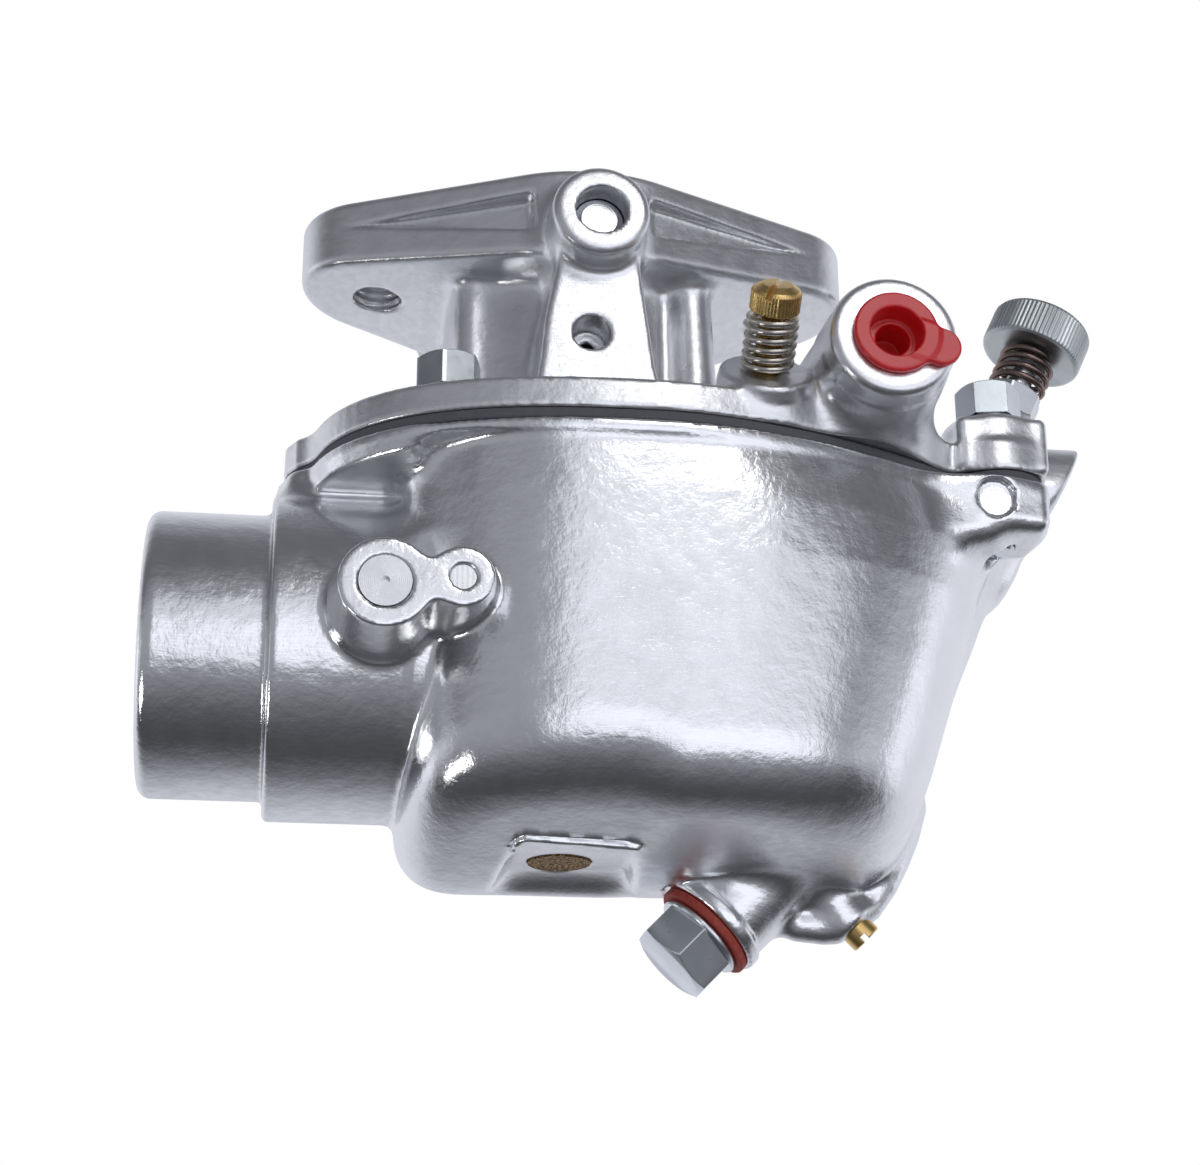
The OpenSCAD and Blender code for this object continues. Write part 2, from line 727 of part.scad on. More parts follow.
module throttle_shaft_seal() {
  shaft_seal(0, throttle_seal_y, throttle_z, 5.95);
}

module throttle_seal_retainer() {
  seal_retainer(0, throttle_seal_y + 2.25, throttle_z, 5.98);
}

// ---------------------------------------------------------------- choke
choke_screw_y = 9;
choke_seal_y = 34.7;
relief_x = choke_x + 11.5; // relief valve axis
choke_lever_y = 41.2;      // front face of the choke lever
choke_arm_z = horn_z + 24; // hole at the arm's upper end
choke_clamp_y = choke_lever_y + 2.5;

module choke_shaft() {
  color([0.72, 0.73, 0.75])
  difference() {
    cyl_y(choke_x, horn_z, -37.9, 47, shaft_r);
    plate_slot(choke_x, horn_z, horn_bore_r);
    plate_screw_holes(choke_x, horn_z, choke_screw_y, 6);
    shaft_flat(choke_x, 40.5, horn_z, flat_depth);
    // centre drilling in the front end
    along_y(choke_x, -38.4, horn_z) cylinder(r = 0.7, h = 1.2, $fn = 24);
  }
}

module choke_plate() {
  color([0.78, 0.79, 0.78])
  difference() {
    plate_disc(choke_x, horn_z, horn_bore_r);
    plate_screw_holes(choke_x, horn_z, choke_screw_y, 3);
    // ports under the relief valve, and its stem hole between them
    for (side = [-1, 1])
      translate([relief_x, side * 3.2, horn_z - 3]) cylinder(r = 1.8, h = 6, $fn = 32);
    cyl_z(relief_x, 0, horn_z - 3, horn_z + 3, 0.92, 24);
  }
}

module choke_plate_screws() {
  color(screw_grey)
  for (side = [-1, 1]) translate([choke_x, side * choke_screw_y, horn_z]) plate_screw();
}

module choke_relief_valve() {
  color([0.80, 0.81, 0.80])
  translate([relief_x, 0, horn_z]) {
    rod(plate_t / 2 + 0.02, 0.6, 5.6);
    rod(-7, 8, 0.85, 24);
    rod(-7.4, 0.6, 1.9, 32);
  }
}

module choke_relief_spring() {
  color(spring_grey)
  translate([relief_x, 0, horn_z])
    coil(radius = 1.5, wire = 0.4, bottom = -6.5, top = -0.95, turns = 5);
}

module choke_lever() {
  color([0.72, 0.73, 0.72])
  difference() {
    union() {
      cyl_y(choke_x, horn_z, choke_lever_y, choke_lever_y + 5, 6.8);
      translate([choke_x - 4, choke_lever_y + 1, horn_z]) cube([8, 3, 24]);
      cyl_y(choke_x, choke_arm_z, choke_lever_y + 1, choke_lever_y + 4, 5.2);
    }
    lever_hole(choke_x, horn_z, choke_lever_y);
    cyl_x(choke_clamp_y, horn_z, choke_x - 9, choke_x - 2, 1.3, 32);
    cyl_y(choke_x, choke_arm_z, choke_lever_y - 3, choke_lever_y + 9, 2.4, 48);
  }
}

module choke_lever_screw() {
  color(screw_grey)
  difference() {
    union() {
      cyl_x(choke_clamp_y, horn_z, choke_x - 7.2, choke_x - shaft_r - 0.02, 1.26, 32);
      cyl_x(choke_clamp_y, horn_z, choke_x - 8.8, choke_x - 6.85, 2.3, 32);
    }
    translate([choke_x - 9.3, choke_lever_y, horn_z - 0.3]) cube([1.3, 6, 0.6]);
  }
}

module choke_shaft_seal() {
  shaft_seal(choke_x, choke_seal_y, horn_z, 5.5);
}

module choke_seal_retainer() {
  seal_retainer(choke_x, choke_seal_y + 2.25, horn_z, 5.52);
}

// ---------------------------------------------------------------- float gear
float_h = 18.8;
float_arm_t = 1.2;
inlet_seat_z = cover_bottom - 0.8; // shoulder of the valve seat

module float_pontoons() {
  end_r = 4.0;
  half_straight = 7.0;
  color([0.80, 0.66, 0.36])
  for (i = [0, 1]) mirror([0, i, 0])
    translate([0, 0, pivot_z - float_arm_t / 2 - 0.02 - float_h])
      linear_extrude(float_h)
        polygon([for (angle = [0:10:350])
          [17.5 + sign_of(cos(angle)) * half_straight + end_r * cos(angle),
           22.0 + end_r * sin(angle)]]);
}

module float_arm() {
  color([0.77, 0.62, 0.32])
  difference() {
    union() {
      translate([22, -25.5, pivot_z - 0.6]) cube([9, 51, float_arm_t]);
      translate([28, -5.5, pivot_z - 0.6]) cube([25, 11, float_arm_t]);
      cyl_y(pivot_x, pivot_z, -6.1, 6.1, 2.2, 48);
    }
    cyl_y(pivot_x, pivot_z, -8, 8, 1.31, 32);
  }
}

module float_pin() {
  color([0.80, 0.81, 0.80]) cyl_y(pivot_x, pivot_z, -9.4, 9.4, 1.25, 32);
}

module inlet_needle() {
  needle_r = 2.25;
  color(needle_grey)
  translate([seat_x, 0, 0]) difference() {
    union() {
      cone(pivot_z + 1.0, 1.2, 0.9, needle_r, 32);
      rod(pivot_z + 2.19, 10, needle_r);
      cone(pivot_z + 12.18, 1.7, needle_r, 0.7, 32);
    }
    // three flats let the fuel past
    for (i = [0:2]) rotate([0, 0, 120 * i])
      translate([1.75, -3, pivot_z + 3]) cube([3, 6, 8.5]);
  }
}

module inlet_seat() {
  color(brass)
  translate([seat_x, 0, 0]) difference() {
    union() {
      rod(inlet_seat_z, 7.6, 4.9);
      hex_z(0, 0, cover_bottom - 4.8, inlet_seat_z, 12);
    }
    rod(cover_bottom - 6, 10.9, 2.3);
    rod(cover_bottom, 9, 1.1, 32);
  }
}

module inlet_seat_washer() {
  color(washer_red)
  translate([seat_x, 0, inlet_seat_z]) ring(4.93, 6.6, 0.02, 0.78);
}

module inlet_cap() {
  rim_y = -43.4;
  rim_t = 1.35;
  color([0.86, 0.08, 0.10])
  translate([inlet_x, 0, inlet_z]) difference() {
    union() {
      along_y(0, rim_y, 0) cylinder(r = 6.7, h = rim_t, $fn = 64);
      // pull tab
      translate([0, rim_y, 0]) rotate([0, 17, 0]) {
        translate([0, 0, -3.1]) cube([7.4, rim_t, 6.2]);
        along_y(7.4, 0, 0) cylinder(r = 3.1, h = rim_t, $fn = 48);
      }
      along_y(0, -42.1, 0) cylinder(r = 5.5, h = 9, $fn = 64);
    }
    along_y(0, -44, 0) cylinder(r = 4.15, h = 4.6, $fn = 48);
    along_y(0, -44, 0) cylinder(r = 2.7, h = 9.6, $fn = 48);
  }
}

// ---------------------------------------------------------------- needles
idle_head_z = 9.9; // underside of the idle needle's head
main_needle_r = 2.3;

module idle_needle() {
  color(dark_brass)
  on_idle() difference() {
    union() {
      cone(-10.9, 1.96, 0.45, 1.7, 32);
      rod(-8.95, 18.9, 2.4);
      rod(idle_head_z, 3.9, 4, 64);
      cone(13.79, 0.7, 3.6, 2.2);
    }
    translate([-5, -0.5, 12.6]) cube([10, 1, 3]);
  }
}

module idle_needle_spring() {
  end_gap = 0.15;
  color([0.66, 0.62, 0.56])
  on_idle() coil(radius = 3.7, wire = idle_wire, bottom = idle_wire / 2 + end_gap,
                 top = idle_head_z - idle_wire / 2 - end_gap, turns = 6);
}

module main_needle() {
  color(needle_grey)
  on_main() {
    cone(1.9, 8, 0.4, main_needle_r);
    rod(9.89, 102, main_needle_r);
  }
}

module main_needle_knob() {
  color([0.66, 0.69, 0.68])
  on_main() difference() {
    union() {
      rod(106.3, 8.4, 9, 96);
      rod(103.6, 2.8, 3.7);
    }
    rod(100, 12, main_needle_r + 0.04);
    // knurl grooves
    for (i = [0:47]) rotate([0, 0, 7.5 * i])
      translate([9.05, 0, 107]) rotate([0, 0, 45]) cube([0.36, 0.36, 9]);
  }
}

module main_needle_spring() {
  color([0.36, 0.28, 0.25])
  on_main() coil(radius = 4.55, wire = main_wire, bottom = 98.9, top = 105.55, turns = 3);
}

module packing_nut() {
  color(needle_grey)
  on_main() difference() {
    union() {
      hex_z(0, 0, 93, 98.2, 9.6);
      rod(86, 7.2, 4.35);
    }
    rod(85, 15, main_needle_r + 0.06);
  }
}

module needle_packing() {
  color([0.25, 0.24, 0.23])
  on_main() ring(main_needle_r + 0.03, 4.35, 80.1, 85.9);
}

// ---------------------------------------------------------------- plugs and fasteners
module drain_plug() {
  color([0.74, 0.77, 0.80])
  on_drain() {
    rod(-9, 12, 4.9);
    rod(1.35, 1.2, 7.4, 64);
    // hexagon head with chamfered corners
    intersection() {
      hex_z(0, 0, 2.5, 8.9, 12.7);
      cone(1.4, 7.6, 11, 6.5, 64);
    }
  }
}

module drain_washer() {
  color([0.70, 0.16, 0.13]) on_drain() ring(4.95, 8.5, 0.02, 1.33);
}

module passage_plug() {
  color(dark_brass)
  on_passage() difference() {
    union() {
      rod(-7, 8, 2);
      rod(0.02, 3.2, 2.6);
    }
    translate([-4, -0.4, 2.2]) cube([8, 0.8, 2]);
  }
}

module drip_filter() {
  color([0.72, 0.52, 0.28]) cyl_z(filter_x, filter_y, -111.2, -108.05, 4.95, 48);
}

module cover_bolts() {
  color([0.74, 0.76, 0.78])
  for (b = bolts) {
    head_bottom = b[LUG_TOP] + lock_washer_t;
    head_top = head_bottom + bolt_head_h;
    cyl_z(b.x, b.y, b[BOLT_TIP], head_bottom + 1, bolt_r, 48);
    // hexagon head with chamfered corners and a dished top
    difference() {
      intersection() {
        hex_z(b.x, b.y, head_bottom, head_top, 9.5);
        translate([b.x, b.y, b[LUG_TOP]])
          cylinder(r1 = 8.6, r2 = 4.7, h = lock_washer_t + bolt_head_h + 0.1, $fn = 64);
      }
      cyl_z(b.x, b.y, head_top - 1.2, head_top + 1, 3.1, 48);
    }
  }
}

module cover_lock_washers() {
  color([0.68, 0.70, 0.72])
  for (b = bolts) translate([b.x, b.y, b[LUG_TOP]])
    ring(bolt_r + 0.05, 4.9, 0.02, lock_washer_t - 0.02);
}

module horn_ball_plug() {
  color(ball_grey) cyl_y(horn_plug_x, horn_plug_z, -37.2, -34, 1.93, 48);
}

module cover_ball_plug() {
  color(ball_grey) cyl_x(cover_plug_y, cover_plug_z, 83.2, 86.6, 2.58, 48);
}

throttle_body();
fuel_bowl();
bowl_gasket();
venturi();
main_nozzle();
nozzle_washer();
idle_tube();
main_jet();
throttle_shaft();
throttle_plate();
throttle_plate_screws();
throttle_lever();
throttle_lever_screw();
throttle_stop_screw();
throttle_stop_spring();
throttle_shaft_seal();
throttle_seal_retainer();
choke_shaft();
choke_plate();
choke_plate_screws();
choke_relief_valve();
choke_relief_spring();
choke_lever();
choke_lever_screw();
choke_shaft_seal();
choke_seal_retainer();
float_pontoons();
float_arm();
float_pin();
inlet_needle();
inlet_seat();
inlet_seat_washer();
inlet_cap();
idle_needle();
idle_needle_spring();
main_needle();
main_needle_knob();
main_needle_spring();
packing_nut();
needle_packing();
drain_plug();
drain_washer();
passage_plug();
drip_filter();
cover_bolts();
cover_lock_washers();
horn_ball_plug();
cover_ball_plug();
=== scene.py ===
# Updraft carburetor: a throttle body casting bolted over a fuel bowl casting, with the gasket,
# turned parts, springs, plugs and inlet cap around them.
# Lengths are millimetres until a mesh is made. +Z is up, -Y is the front and +X the right.
# The bore runs down the Z axis from the flange face at z 0; the air horn opens towards -X.
import json
import math
from functools import reduce

import bmesh
import bpy
import numpy as np
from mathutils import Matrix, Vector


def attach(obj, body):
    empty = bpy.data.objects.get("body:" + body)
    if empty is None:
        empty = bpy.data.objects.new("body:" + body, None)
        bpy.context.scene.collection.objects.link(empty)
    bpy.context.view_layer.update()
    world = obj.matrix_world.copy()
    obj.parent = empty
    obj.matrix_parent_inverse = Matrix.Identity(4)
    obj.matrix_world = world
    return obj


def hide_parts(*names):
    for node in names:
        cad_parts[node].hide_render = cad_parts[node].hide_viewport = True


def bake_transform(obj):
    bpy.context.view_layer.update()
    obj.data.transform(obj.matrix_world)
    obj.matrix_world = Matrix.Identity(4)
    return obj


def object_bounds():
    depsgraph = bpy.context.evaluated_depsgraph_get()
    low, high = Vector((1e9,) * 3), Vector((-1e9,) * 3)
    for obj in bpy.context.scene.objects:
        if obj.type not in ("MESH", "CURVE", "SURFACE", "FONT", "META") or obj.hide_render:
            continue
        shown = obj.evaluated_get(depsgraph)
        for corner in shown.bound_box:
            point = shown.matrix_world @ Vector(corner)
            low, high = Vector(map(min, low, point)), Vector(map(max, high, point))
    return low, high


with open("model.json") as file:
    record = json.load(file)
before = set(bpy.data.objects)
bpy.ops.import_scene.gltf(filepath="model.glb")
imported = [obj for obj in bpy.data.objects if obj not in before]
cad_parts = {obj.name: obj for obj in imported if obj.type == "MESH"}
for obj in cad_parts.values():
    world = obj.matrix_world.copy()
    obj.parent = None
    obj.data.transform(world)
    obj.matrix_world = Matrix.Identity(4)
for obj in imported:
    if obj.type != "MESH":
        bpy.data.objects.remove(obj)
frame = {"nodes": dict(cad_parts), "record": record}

import openvdb as vdb
from mathutils import Matrix, Vector


def as_lists(bounds):
    return [[float(v) for v in corner] for corner in (bounds[0], bounds[1])]


CAD_BOX = as_lists(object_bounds())
MM = 0.001

# ---------------------------------------------------------------- driving dimensions
THROTTLE_Z = -12.5               # throttle shaft height
HORN_X, HORN_Z = -69.15, -77.94  # mouth and centre height of the air horn
CHOKE_X = -32.7                  # choke shaft, at the height of the horn's centre
ELBOW_X = -8                     # where the horn's bore ends in a ball
BEND = (-4, 0, HORN_Z - 8)       # second ball of the elbow
AIR_R, RISER_R = 20.2, 17.05     # air passage in the horn and up to the bore
FLANGE_R = 27.05
EAR_X, EAR_R = 34.13, 12.7       # flange ears and their holes
COVER_Z = -47.6                  # underside of the cover
BOWL_Z = -49.45                  # top face of the bowl
PASSAGE = (-1, -24.4)            # x, y of the upright passage through both castings
PASSAGE_R = 1.75
INLET = (45, -35)                # x, z
GALLERY = (44.4, -37.5)          # x, z
REAR_BOSS = (13.5, -36.6)        # y, z of the right rear boss
SMALL_X, SMALL_Z = -21.2, -76.6  # small plug beside the choke shaft
HINGE_X = 53

# x, y, seat z, boss radius
BOLTS = [
    (-22.8, -20.0, -40.6, 6.3), (-22.8, 20.0, -40.6, 6.3),
    (68.5, -13.5, -37.4, 7.6), (62.0, 18.5, -37.4, 7.6),
]


def axis_frame(origin, direction, across=(1, 0, 0)):
    """Matrix with local Z along direction and local X near across."""
    z = Vector(direction).normalized()
    x = Vector(across)
    x = (x - z * x.dot(z)).normalized()
    matrix = Matrix((x, z.cross(x), z)).transposed().to_4x4()
    matrix.translation = Vector(origin)
    return matrix


MAIN_TILT, IDLE_TILT, NOZZLE_TILT = (math.radians(v) for v in (25.08, 47, 15.64))
DIAGONAL = math.sqrt(0.5)
MAIN = axis_frame((38, 5, -110), (math.sin(MAIN_TILT), 0, math.cos(MAIN_TILT)))
IDLE = axis_frame((26.5, -32, -37.5), (0, -math.sin(IDLE_TILT), math.cos(IDLE_TILT)))
DRAIN = axis_frame((21.1, 0, -119.9), (-DIAGONAL, 0, -DIAGONAL), (0, 1, 0))
PLUG = axis_frame((44.6, 0, -118.9), (DIAGONAL, 0, -DIAGONAL), (0, 1, 0))
NOZZLE = axis_frame((0, 0, -58), (-math.sin(NOZZLE_TILT), 0, math.cos(NOZZLE_TILT)))


# ---------------------------------------------------------------- signed distance modelling
# A distance is a function of x, y, z that is negative inside. A shape is a pair: a distance
# and the box it is worked out in.

FAR = 60.0    # distance before anything is added
BAND = 4      # distances are clipped to this before meshing
MARGIN = 6    # room round a shape for blending


def soft_min(a, b, blend):
    if blend <= 0:
        return np.minimum(a, b)
    h = np.clip(0.5 + 0.5 * (b - a) / blend, 0, 1)
    return b + (a - b) * h - blend * h * (1 - h)


def soft_max(a, b, blend):
    return -soft_min(-a, -b, blend)


class Field:
    """A grid of distances that shapes are added to and cut from."""

    def __init__(self, low, high, cell):
        self.low, self.cell = np.array(low, float), cell
        self.count = np.ceil((np.array(high, float) - self.low) / cell).astype(int) + 1
        self.axes = [(self.low[i] + cell * np.arange(self.count[i])).astype(np.float32)
                     for i in range(3)]
        self.values = np.full(tuple(self.count), FAR, np.float32)

    def window(self, box):
        if box is None:
            return (slice(None),) * 3
        first = [math.floor((box[0][i] - self.low[i]) / self.cell) for i in range(3)]
        last = [math.ceil((box[1][i] - self.low[i]) / self.cell) + 1 for i in range(3)]
        return tuple(slice(int(max(0, first[i])), int(min(self.count[i], last[i])))
                     for i in range(3))

    def combine(self, shape, join):
        distance, box = shape
        window = self.window(box)
        grid = np.ix_(*(axis[part] for axis, part in zip(self.axes, window)))
        new = distance(*grid).astype(np.float32)
        self.values[window] = join(self.values[window], new)

    def add(self, shape, blend=0.0):
        self.combine(shape, lambda old, new: soft_min(old, new, blend))

    def cut(self, shape, blend=0.0):
        self.combine(shape, lambda old, new: soft_max(old, -new, blend))

    def to_object(self, name):
        grid = vdb.FloatGrid(FAR)
        grid.copyFromArray(np.clip(self.values, -BAND, BAND))
        points, tris, quads = grid.convertToPolygons(isovalue=0.0, adaptivity=0.0)
        points = np.asarray(points, np.float64) * self.cell + self.low
        quads = np.asarray(quads, np.int64)
        tris = np.asarray(tris, np.int64).reshape(-1, 3)
        corners = np.concatenate([quads.ravel(), tris.ravel()]).astype(np.int32)
        starts = np.concatenate([np.arange(len(quads)) * 4,
                                 len(quads) * 4 + np.arange(len(tris)) * 3])
        mesh = bpy.data.meshes.new(name)
        mesh.vertices.add(len(points))
        mesh.vertices.foreach_set("co", (points * MM).astype(np.float32).ravel())
        mesh.loops.add(len(corners))
        mesh.loops.foreach_set("vertex_index", corners)
        mesh.polygons.add(len(starts))
        mesh.polygons.foreach_set("loop_start", starts.astype(np.int32))
        mesh.update(calc_edges=True)
        mesh.validate()
        return add_object(name, mesh)


def add_object(name, mesh):
    """Smooth-shaded object in the scene."""
    mesh.polygons.foreach_set("use_smooth", np.ones(len(mesh.polygons), bool))
    ob = bpy.data.objects.new(name, mesh)
    bpy.context.scene.collection.objects.link(ob)
    return ob


def around(radius, *points):
    """Box that holds balls of this radius at the points, with the blending margin."""
    points = np.array(points, float)
    return points.min(0) - radius - MARGIN, points.max(0) + radius + MARGIN


def dot(a, b):
    return a[0] * b[0] + a[1] * b[1] + a[2] * b[2]


def size_of(dx, dy, dz):
    return np.sqrt(dx ** 2 + dy ** 2 + dz ** 2)


def rounded(a, b, edge):
    """What is inside both a and b, with the corner between them rounded."""
    a, b = a + edge, b + edge
    outside = np.sqrt(np.maximum(a, 0) ** 2 + np.maximum(b, 0) ** 2)
    return np.minimum(np.maximum(a, b), 0) + outside - edge


def rod(start, end, radius, end_radius=None, edge=0.0):
    """Capped cylinder, or cone where end_radius differs."""
    start, end = np.array(start, float), np.array(end, float)
    length = np.linalg.norm(end - start)
    unit = (end - start) / length
    growth = 0.0 if end_radius is None else end_radius - radius
    slant = 1 / math.sqrt(1 + (growth / length) ** 2)

    def distance(x, y, z):
        d = x - start[0], y - start[1], z - start[2]
        t = dot(d, unit)
        rho = size_of(*(d[i] - t * unit[i] for i in range(3)))
        side = (rho - (radius + growth * np.clip(t / length, 0, 1))) * slant
        return rounded(side, np.abs(t - length / 2) - length / 2, edge)

    return distance, around(max(radius, radius + growth), start, end)


def rod_x(y, z, x0, x1, *sizes):
    return rod((x0, y, z), (x1, y, z), *sizes)


def rod_y(x, z, y0, y1, *sizes):
    return rod((x, y0, z), (x, y1, z), *sizes)


def rod_z(x, y, z0, z1, *sizes):
    return rod((x, y, z0), (x, y, z1), *sizes)


def point_on(axis, s):
    """Point at s along an axis frame's Z."""
    return tuple(axis @ Vector((0, 0, s)))


def rod_on(axis, s0, s1, *sizes):
    return rod(point_on(axis, s0), point_on(axis, s1), *sizes)


def ball(centre, radius):
    centre = np.array(centre, float)

    def distance(x, y, z):
        return size_of(x - centre[0], y - centre[1], z - centre[2]) - radius

    return distance, around(radius, centre)


def capsule(start, end, radius, end_radius=None):
    start, end = np.array(start, float), np.array(end, float)
    span = end - start
    squared = float(span @ span)
    growth = 0.0 if end_radius is None else end_radius - radius

    def distance(x, y, z):
        d = x - start[0], y - start[1], z - start[2]
        t = np.clip(dot(d, span) / squared, 0, 1)
        return size_of(*(d[i] - t * span[i] for i in range(3))) - (radius + growth * t)

    return distance, around(max(radius, radius + growth), start, end)


def brick(centre, half, edge=0.0):
    """Box with half sizes and an edge radius."""
    centre = np.array(centre, float)

    def distance(x, y, z):
        q = [np.abs(v - centre[i]) - half[i] + edge for i, v in enumerate((x, y, z))]
        out = size_of(*(np.maximum(v, 0) for v in q))
        return out + np.minimum(np.maximum(q[0], np.maximum(q[1], q[2])), 0) - edge

    return distance, around(float(np.linalg.norm(half)), centre)


def threaded(start, end, radius, pitch, depth):
    """Cylinder with a helical ridge, for cutting a threaded hole."""
    start, end = np.array(start, float), np.array(end, float)
    length = np.linalg.norm(end - start)
    unit = (end - start) / length
    across = np.cross(unit, [0.3, 1, 0.2])
    across /= np.linalg.norm(across)
    third = np.cross(unit, across)

    def distance(x, y, z):
        d = x - start[0], y - start[1], z - start[2]
        t, a, b = dot(d, unit), dot(d, across), dot(d, third)
        phase = (t / pitch - np.arctan2(b, a) / (2 * math.pi)) % 1.0
        ridge = radius + depth * (np.abs(phase - 0.5) * 2 - 0.5)
        return np.maximum(np.sqrt(a * a + b * b) - ridge, np.abs(t - length / 2) - length / 2)

    return distance, around(radius, start, end)


def nearest(shapes, x, y, z):
    """Distance to the closest of several shapes."""
    return reduce(np.minimum, (shape[0](x, y, z) for shape in shapes))


def polygon(points):
    """Plan distance of a closed polygon."""
    starts = np.array(points, float)
    ends = np.roll(starts, -1, 0)

    def plan(x, y):
        shape = np.broadcast(x, y).shape
        squared = np.full(shape, 1e9)
        inside = np.zeros(shape, bool)
        for (ax, ay), (bx, by) in zip(starts, ends):
            ex, ey = bx - ax, by - ay
            wx, wy = x - ax, y - ay
            t = np.clip((wx * ex + wy * ey) / (ex * ex + ey * ey), 0, 1)
            squared = np.minimum(squared, (wx - t * ex) ** 2 + (wy - t * ey) ** 2)
            rise = ey if ey != 0 else 1e-9
            inside ^= ((ay > y) != (by > y)) & (x < ex * (y - ay) / rise + ax)
        return np.where(inside, -1, 1) * np.sqrt(squared)

    return plan


def circle(cx, cy, radius):
    return lambda x, y: np.sqrt((x - cx) ** 2 + (y - cy) ** 2) - radius


def egg(left, middle, right, half_width, left_power=2.6, right_power=1.6, count=96):
    """Polygon points of two half superellipses that meet at x = middle."""
    points = []
    for i in range(count):
        angle = 2 * math.pi * i / count
        c, s = math.cos(angle), math.sin(angle)
        power = left_power if c < 0 else right_power
        reach = middle - left if c < 0 else right - middle
        points.append((middle + reach * math.copysign(abs(c) ** (2 / power), c),
                       half_width * math.copysign(abs(s) ** (2 / power), s)))
    return points


def extrude(plan, start, end, edge=0.0, axis="z"):
    """Plan pulled along Z, or an XZ outline pulled along Y."""

    def distance(x, y, z):
        if axis == "z":
            flat, height = plan(x[:, :, 0], y[:, :, 0])[:, :, None], z
        else:
            flat, height = plan(x[:, 0, :], z[:, 0, :])[:, None, :], y
        return rounded(flat, np.abs(height - (start + end) / 2) - abs(end - start) / 2, edge)

    return distance


EGG_PLAN = polygon(egg(-44.6, 10, 74, 37.2))
LEFT_PLAN = polygon([
    (-30, -19.0), (-37.5, -12.8), (-46.4, -7.6), (-48.2, -4), (-48.3, 0),
    (-48.2, 4), (-46.4, 7.6), (-37.5, 12.8), (-30, 19.0)])


def outline(x, y, shrink=0.0):
    """Plan outline of the cover, gasket and bowl top."""
    d = soft_min(EGG_PLAN(x, y), LEFT_PLAN(x, y), 3.0)
    for bolt in BOLTS:
        d = soft_min(d, circle(bolt[0], bolt[1], bolt[3] + 0.6)(x, y), 5.0)
    return soft_min(d, circle(66, 4, 13.2)(x, y), 4.0) + shrink


# ---------------------------------------------------------------- throttle body casting
SIDE_SIN = (FLANGE_R - EAR_R) / EAR_X   # slant of the flange's straight sides
SIDE_COS = math.sqrt(1 - SIDE_SIN * SIDE_SIN)

# x, z of the ribs below the two shaft bosses
FRONT_RIB = [
    (-5.2, THROTTLE_Z + 4), (-6.8, -21), (-8.4, -29), (-9.2, -37), (-9.9, -41),
    (-12.5, -44.5), (-15, -47), (15, -47), (12.6, -44.5), (10.2, -41), (9.2, -37),
    (8.2, -29), (7.2, -21), (6.2, THROTTLE_Z + 4)]
REAR_RIB = [(-8, THROTTLE_Z), (-9, -40), (-12, -47), (12, -47), (9, -40), (8, THROTTLE_Z)]


def flange_plan(x, y):
    ax, ay = np.abs(x), np.abs(y)
    ends = np.minimum(np.sqrt(x * x + y * y) - FLANGE_R,
                      np.sqrt((ax - EAR_X) ** 2 + y * y) - EAR_R)
    along_side = ax * SIDE_COS - ay * SIDE_SIN
    past_side = ax * SIDE_SIN + ay * SIDE_COS - FLANGE_R
    return np.where((along_side > 0) & (along_side < EAR_X * SIDE_COS), past_side, ends)


def slanted(x, z, x0, z0, cosine, sine):
    """Distance past a slanted plane through x0, z0."""
    return (x - x0) * cosine - (z - z0) * sine


def add_cover_and_flange(body):
    body.add((extrude(outline, COVER_Z, -42.5, 0.45), ((-60, -50, -54), (92, 50, -30))))
    for x, y, seat, radius in BOLTS:
        body.add(rod_z(x, y, COVER_Z, seat, radius + 0.3, radius - 0.1, 0.7), 1.6)
    body.add(brick((68.6, -13.6, -42.6), (7.6, 7.0, 5.0), 1.3), 1.2)
    slab = extrude(flange_plan, -17.0, 0.0, 1.3)

    def flange(x, y, z):
        # the underside deepens towards the neck
        return soft_max(slab(x, y, z), -z - 12.0 - 0.12 * (38 - np.abs(x)), 1.6)

    body.add((flange, ((-50, -30, -18), (50, 30, 6))))


def add_neck(body):
    body.add(rod_z(0, 0, -50, -4, 19.8), 3.0)
    body.add(brick((-0.7, 0, -27), (20.8, 13.5, 19), 3.2), 2.6)
    # shaft bosses and the ribs below them
    body.add(rod_y(0, THROTTLE_Z, -30, -8, 7.4, 8.6, 0.5), 4.5)
    body.add(rod_y(0, THROTTLE_Z, -36, -27, 7.9, 7.9, 1.5), 0.8)
    body.add(rod_y(0, THROTTLE_Z, 8, 31, 8.2, 7.9, 0.8), 4.0)
    rib = extrude(polygon(FRONT_RIB), -30.2, -10, 0.9, "y")
    body.add((rib, ((-24, -40, -54), (26, -6, -4))), 2.2)
    rib = extrude(polygon(REAR_RIB), 10, 26.5, 0.9, "y")
    body.add((rib, ((-24, 4, -54), (26, 36, -4))), 2.5)
    # upright ridges: right front, left rear
    body.add(rod((18.5, -13, -48), (17.5, -13, -6), 4.2, 3.6), 3.0)
    body.add(rod((-17.5, 13, -48), (-17.0, 12, -6), 3.6), 3.0)


def right_rear_boss():
    barrel = rod_x(*REAR_BOSS, 58, 100, 8.2)[0]
    block = brick((76, 12, -43.5), (16, 6.5, 6.5), 2.0)[0]
    slope = math.cos(math.radians(27)), math.sin(math.radians(27))

    def distance(x, y, z):
        foot = soft_max(block(x, y, z), slanted(x, z, 81.4, -48.8, *slope), 2.0)
        d = soft_min(barrel(x, y, z), foot, 3.0)
        return soft_max(d, slanted(x, z, 97.4, -20, *slope), 1.0)

    return distance, ((54, -4, -56), (98, 28, -22))


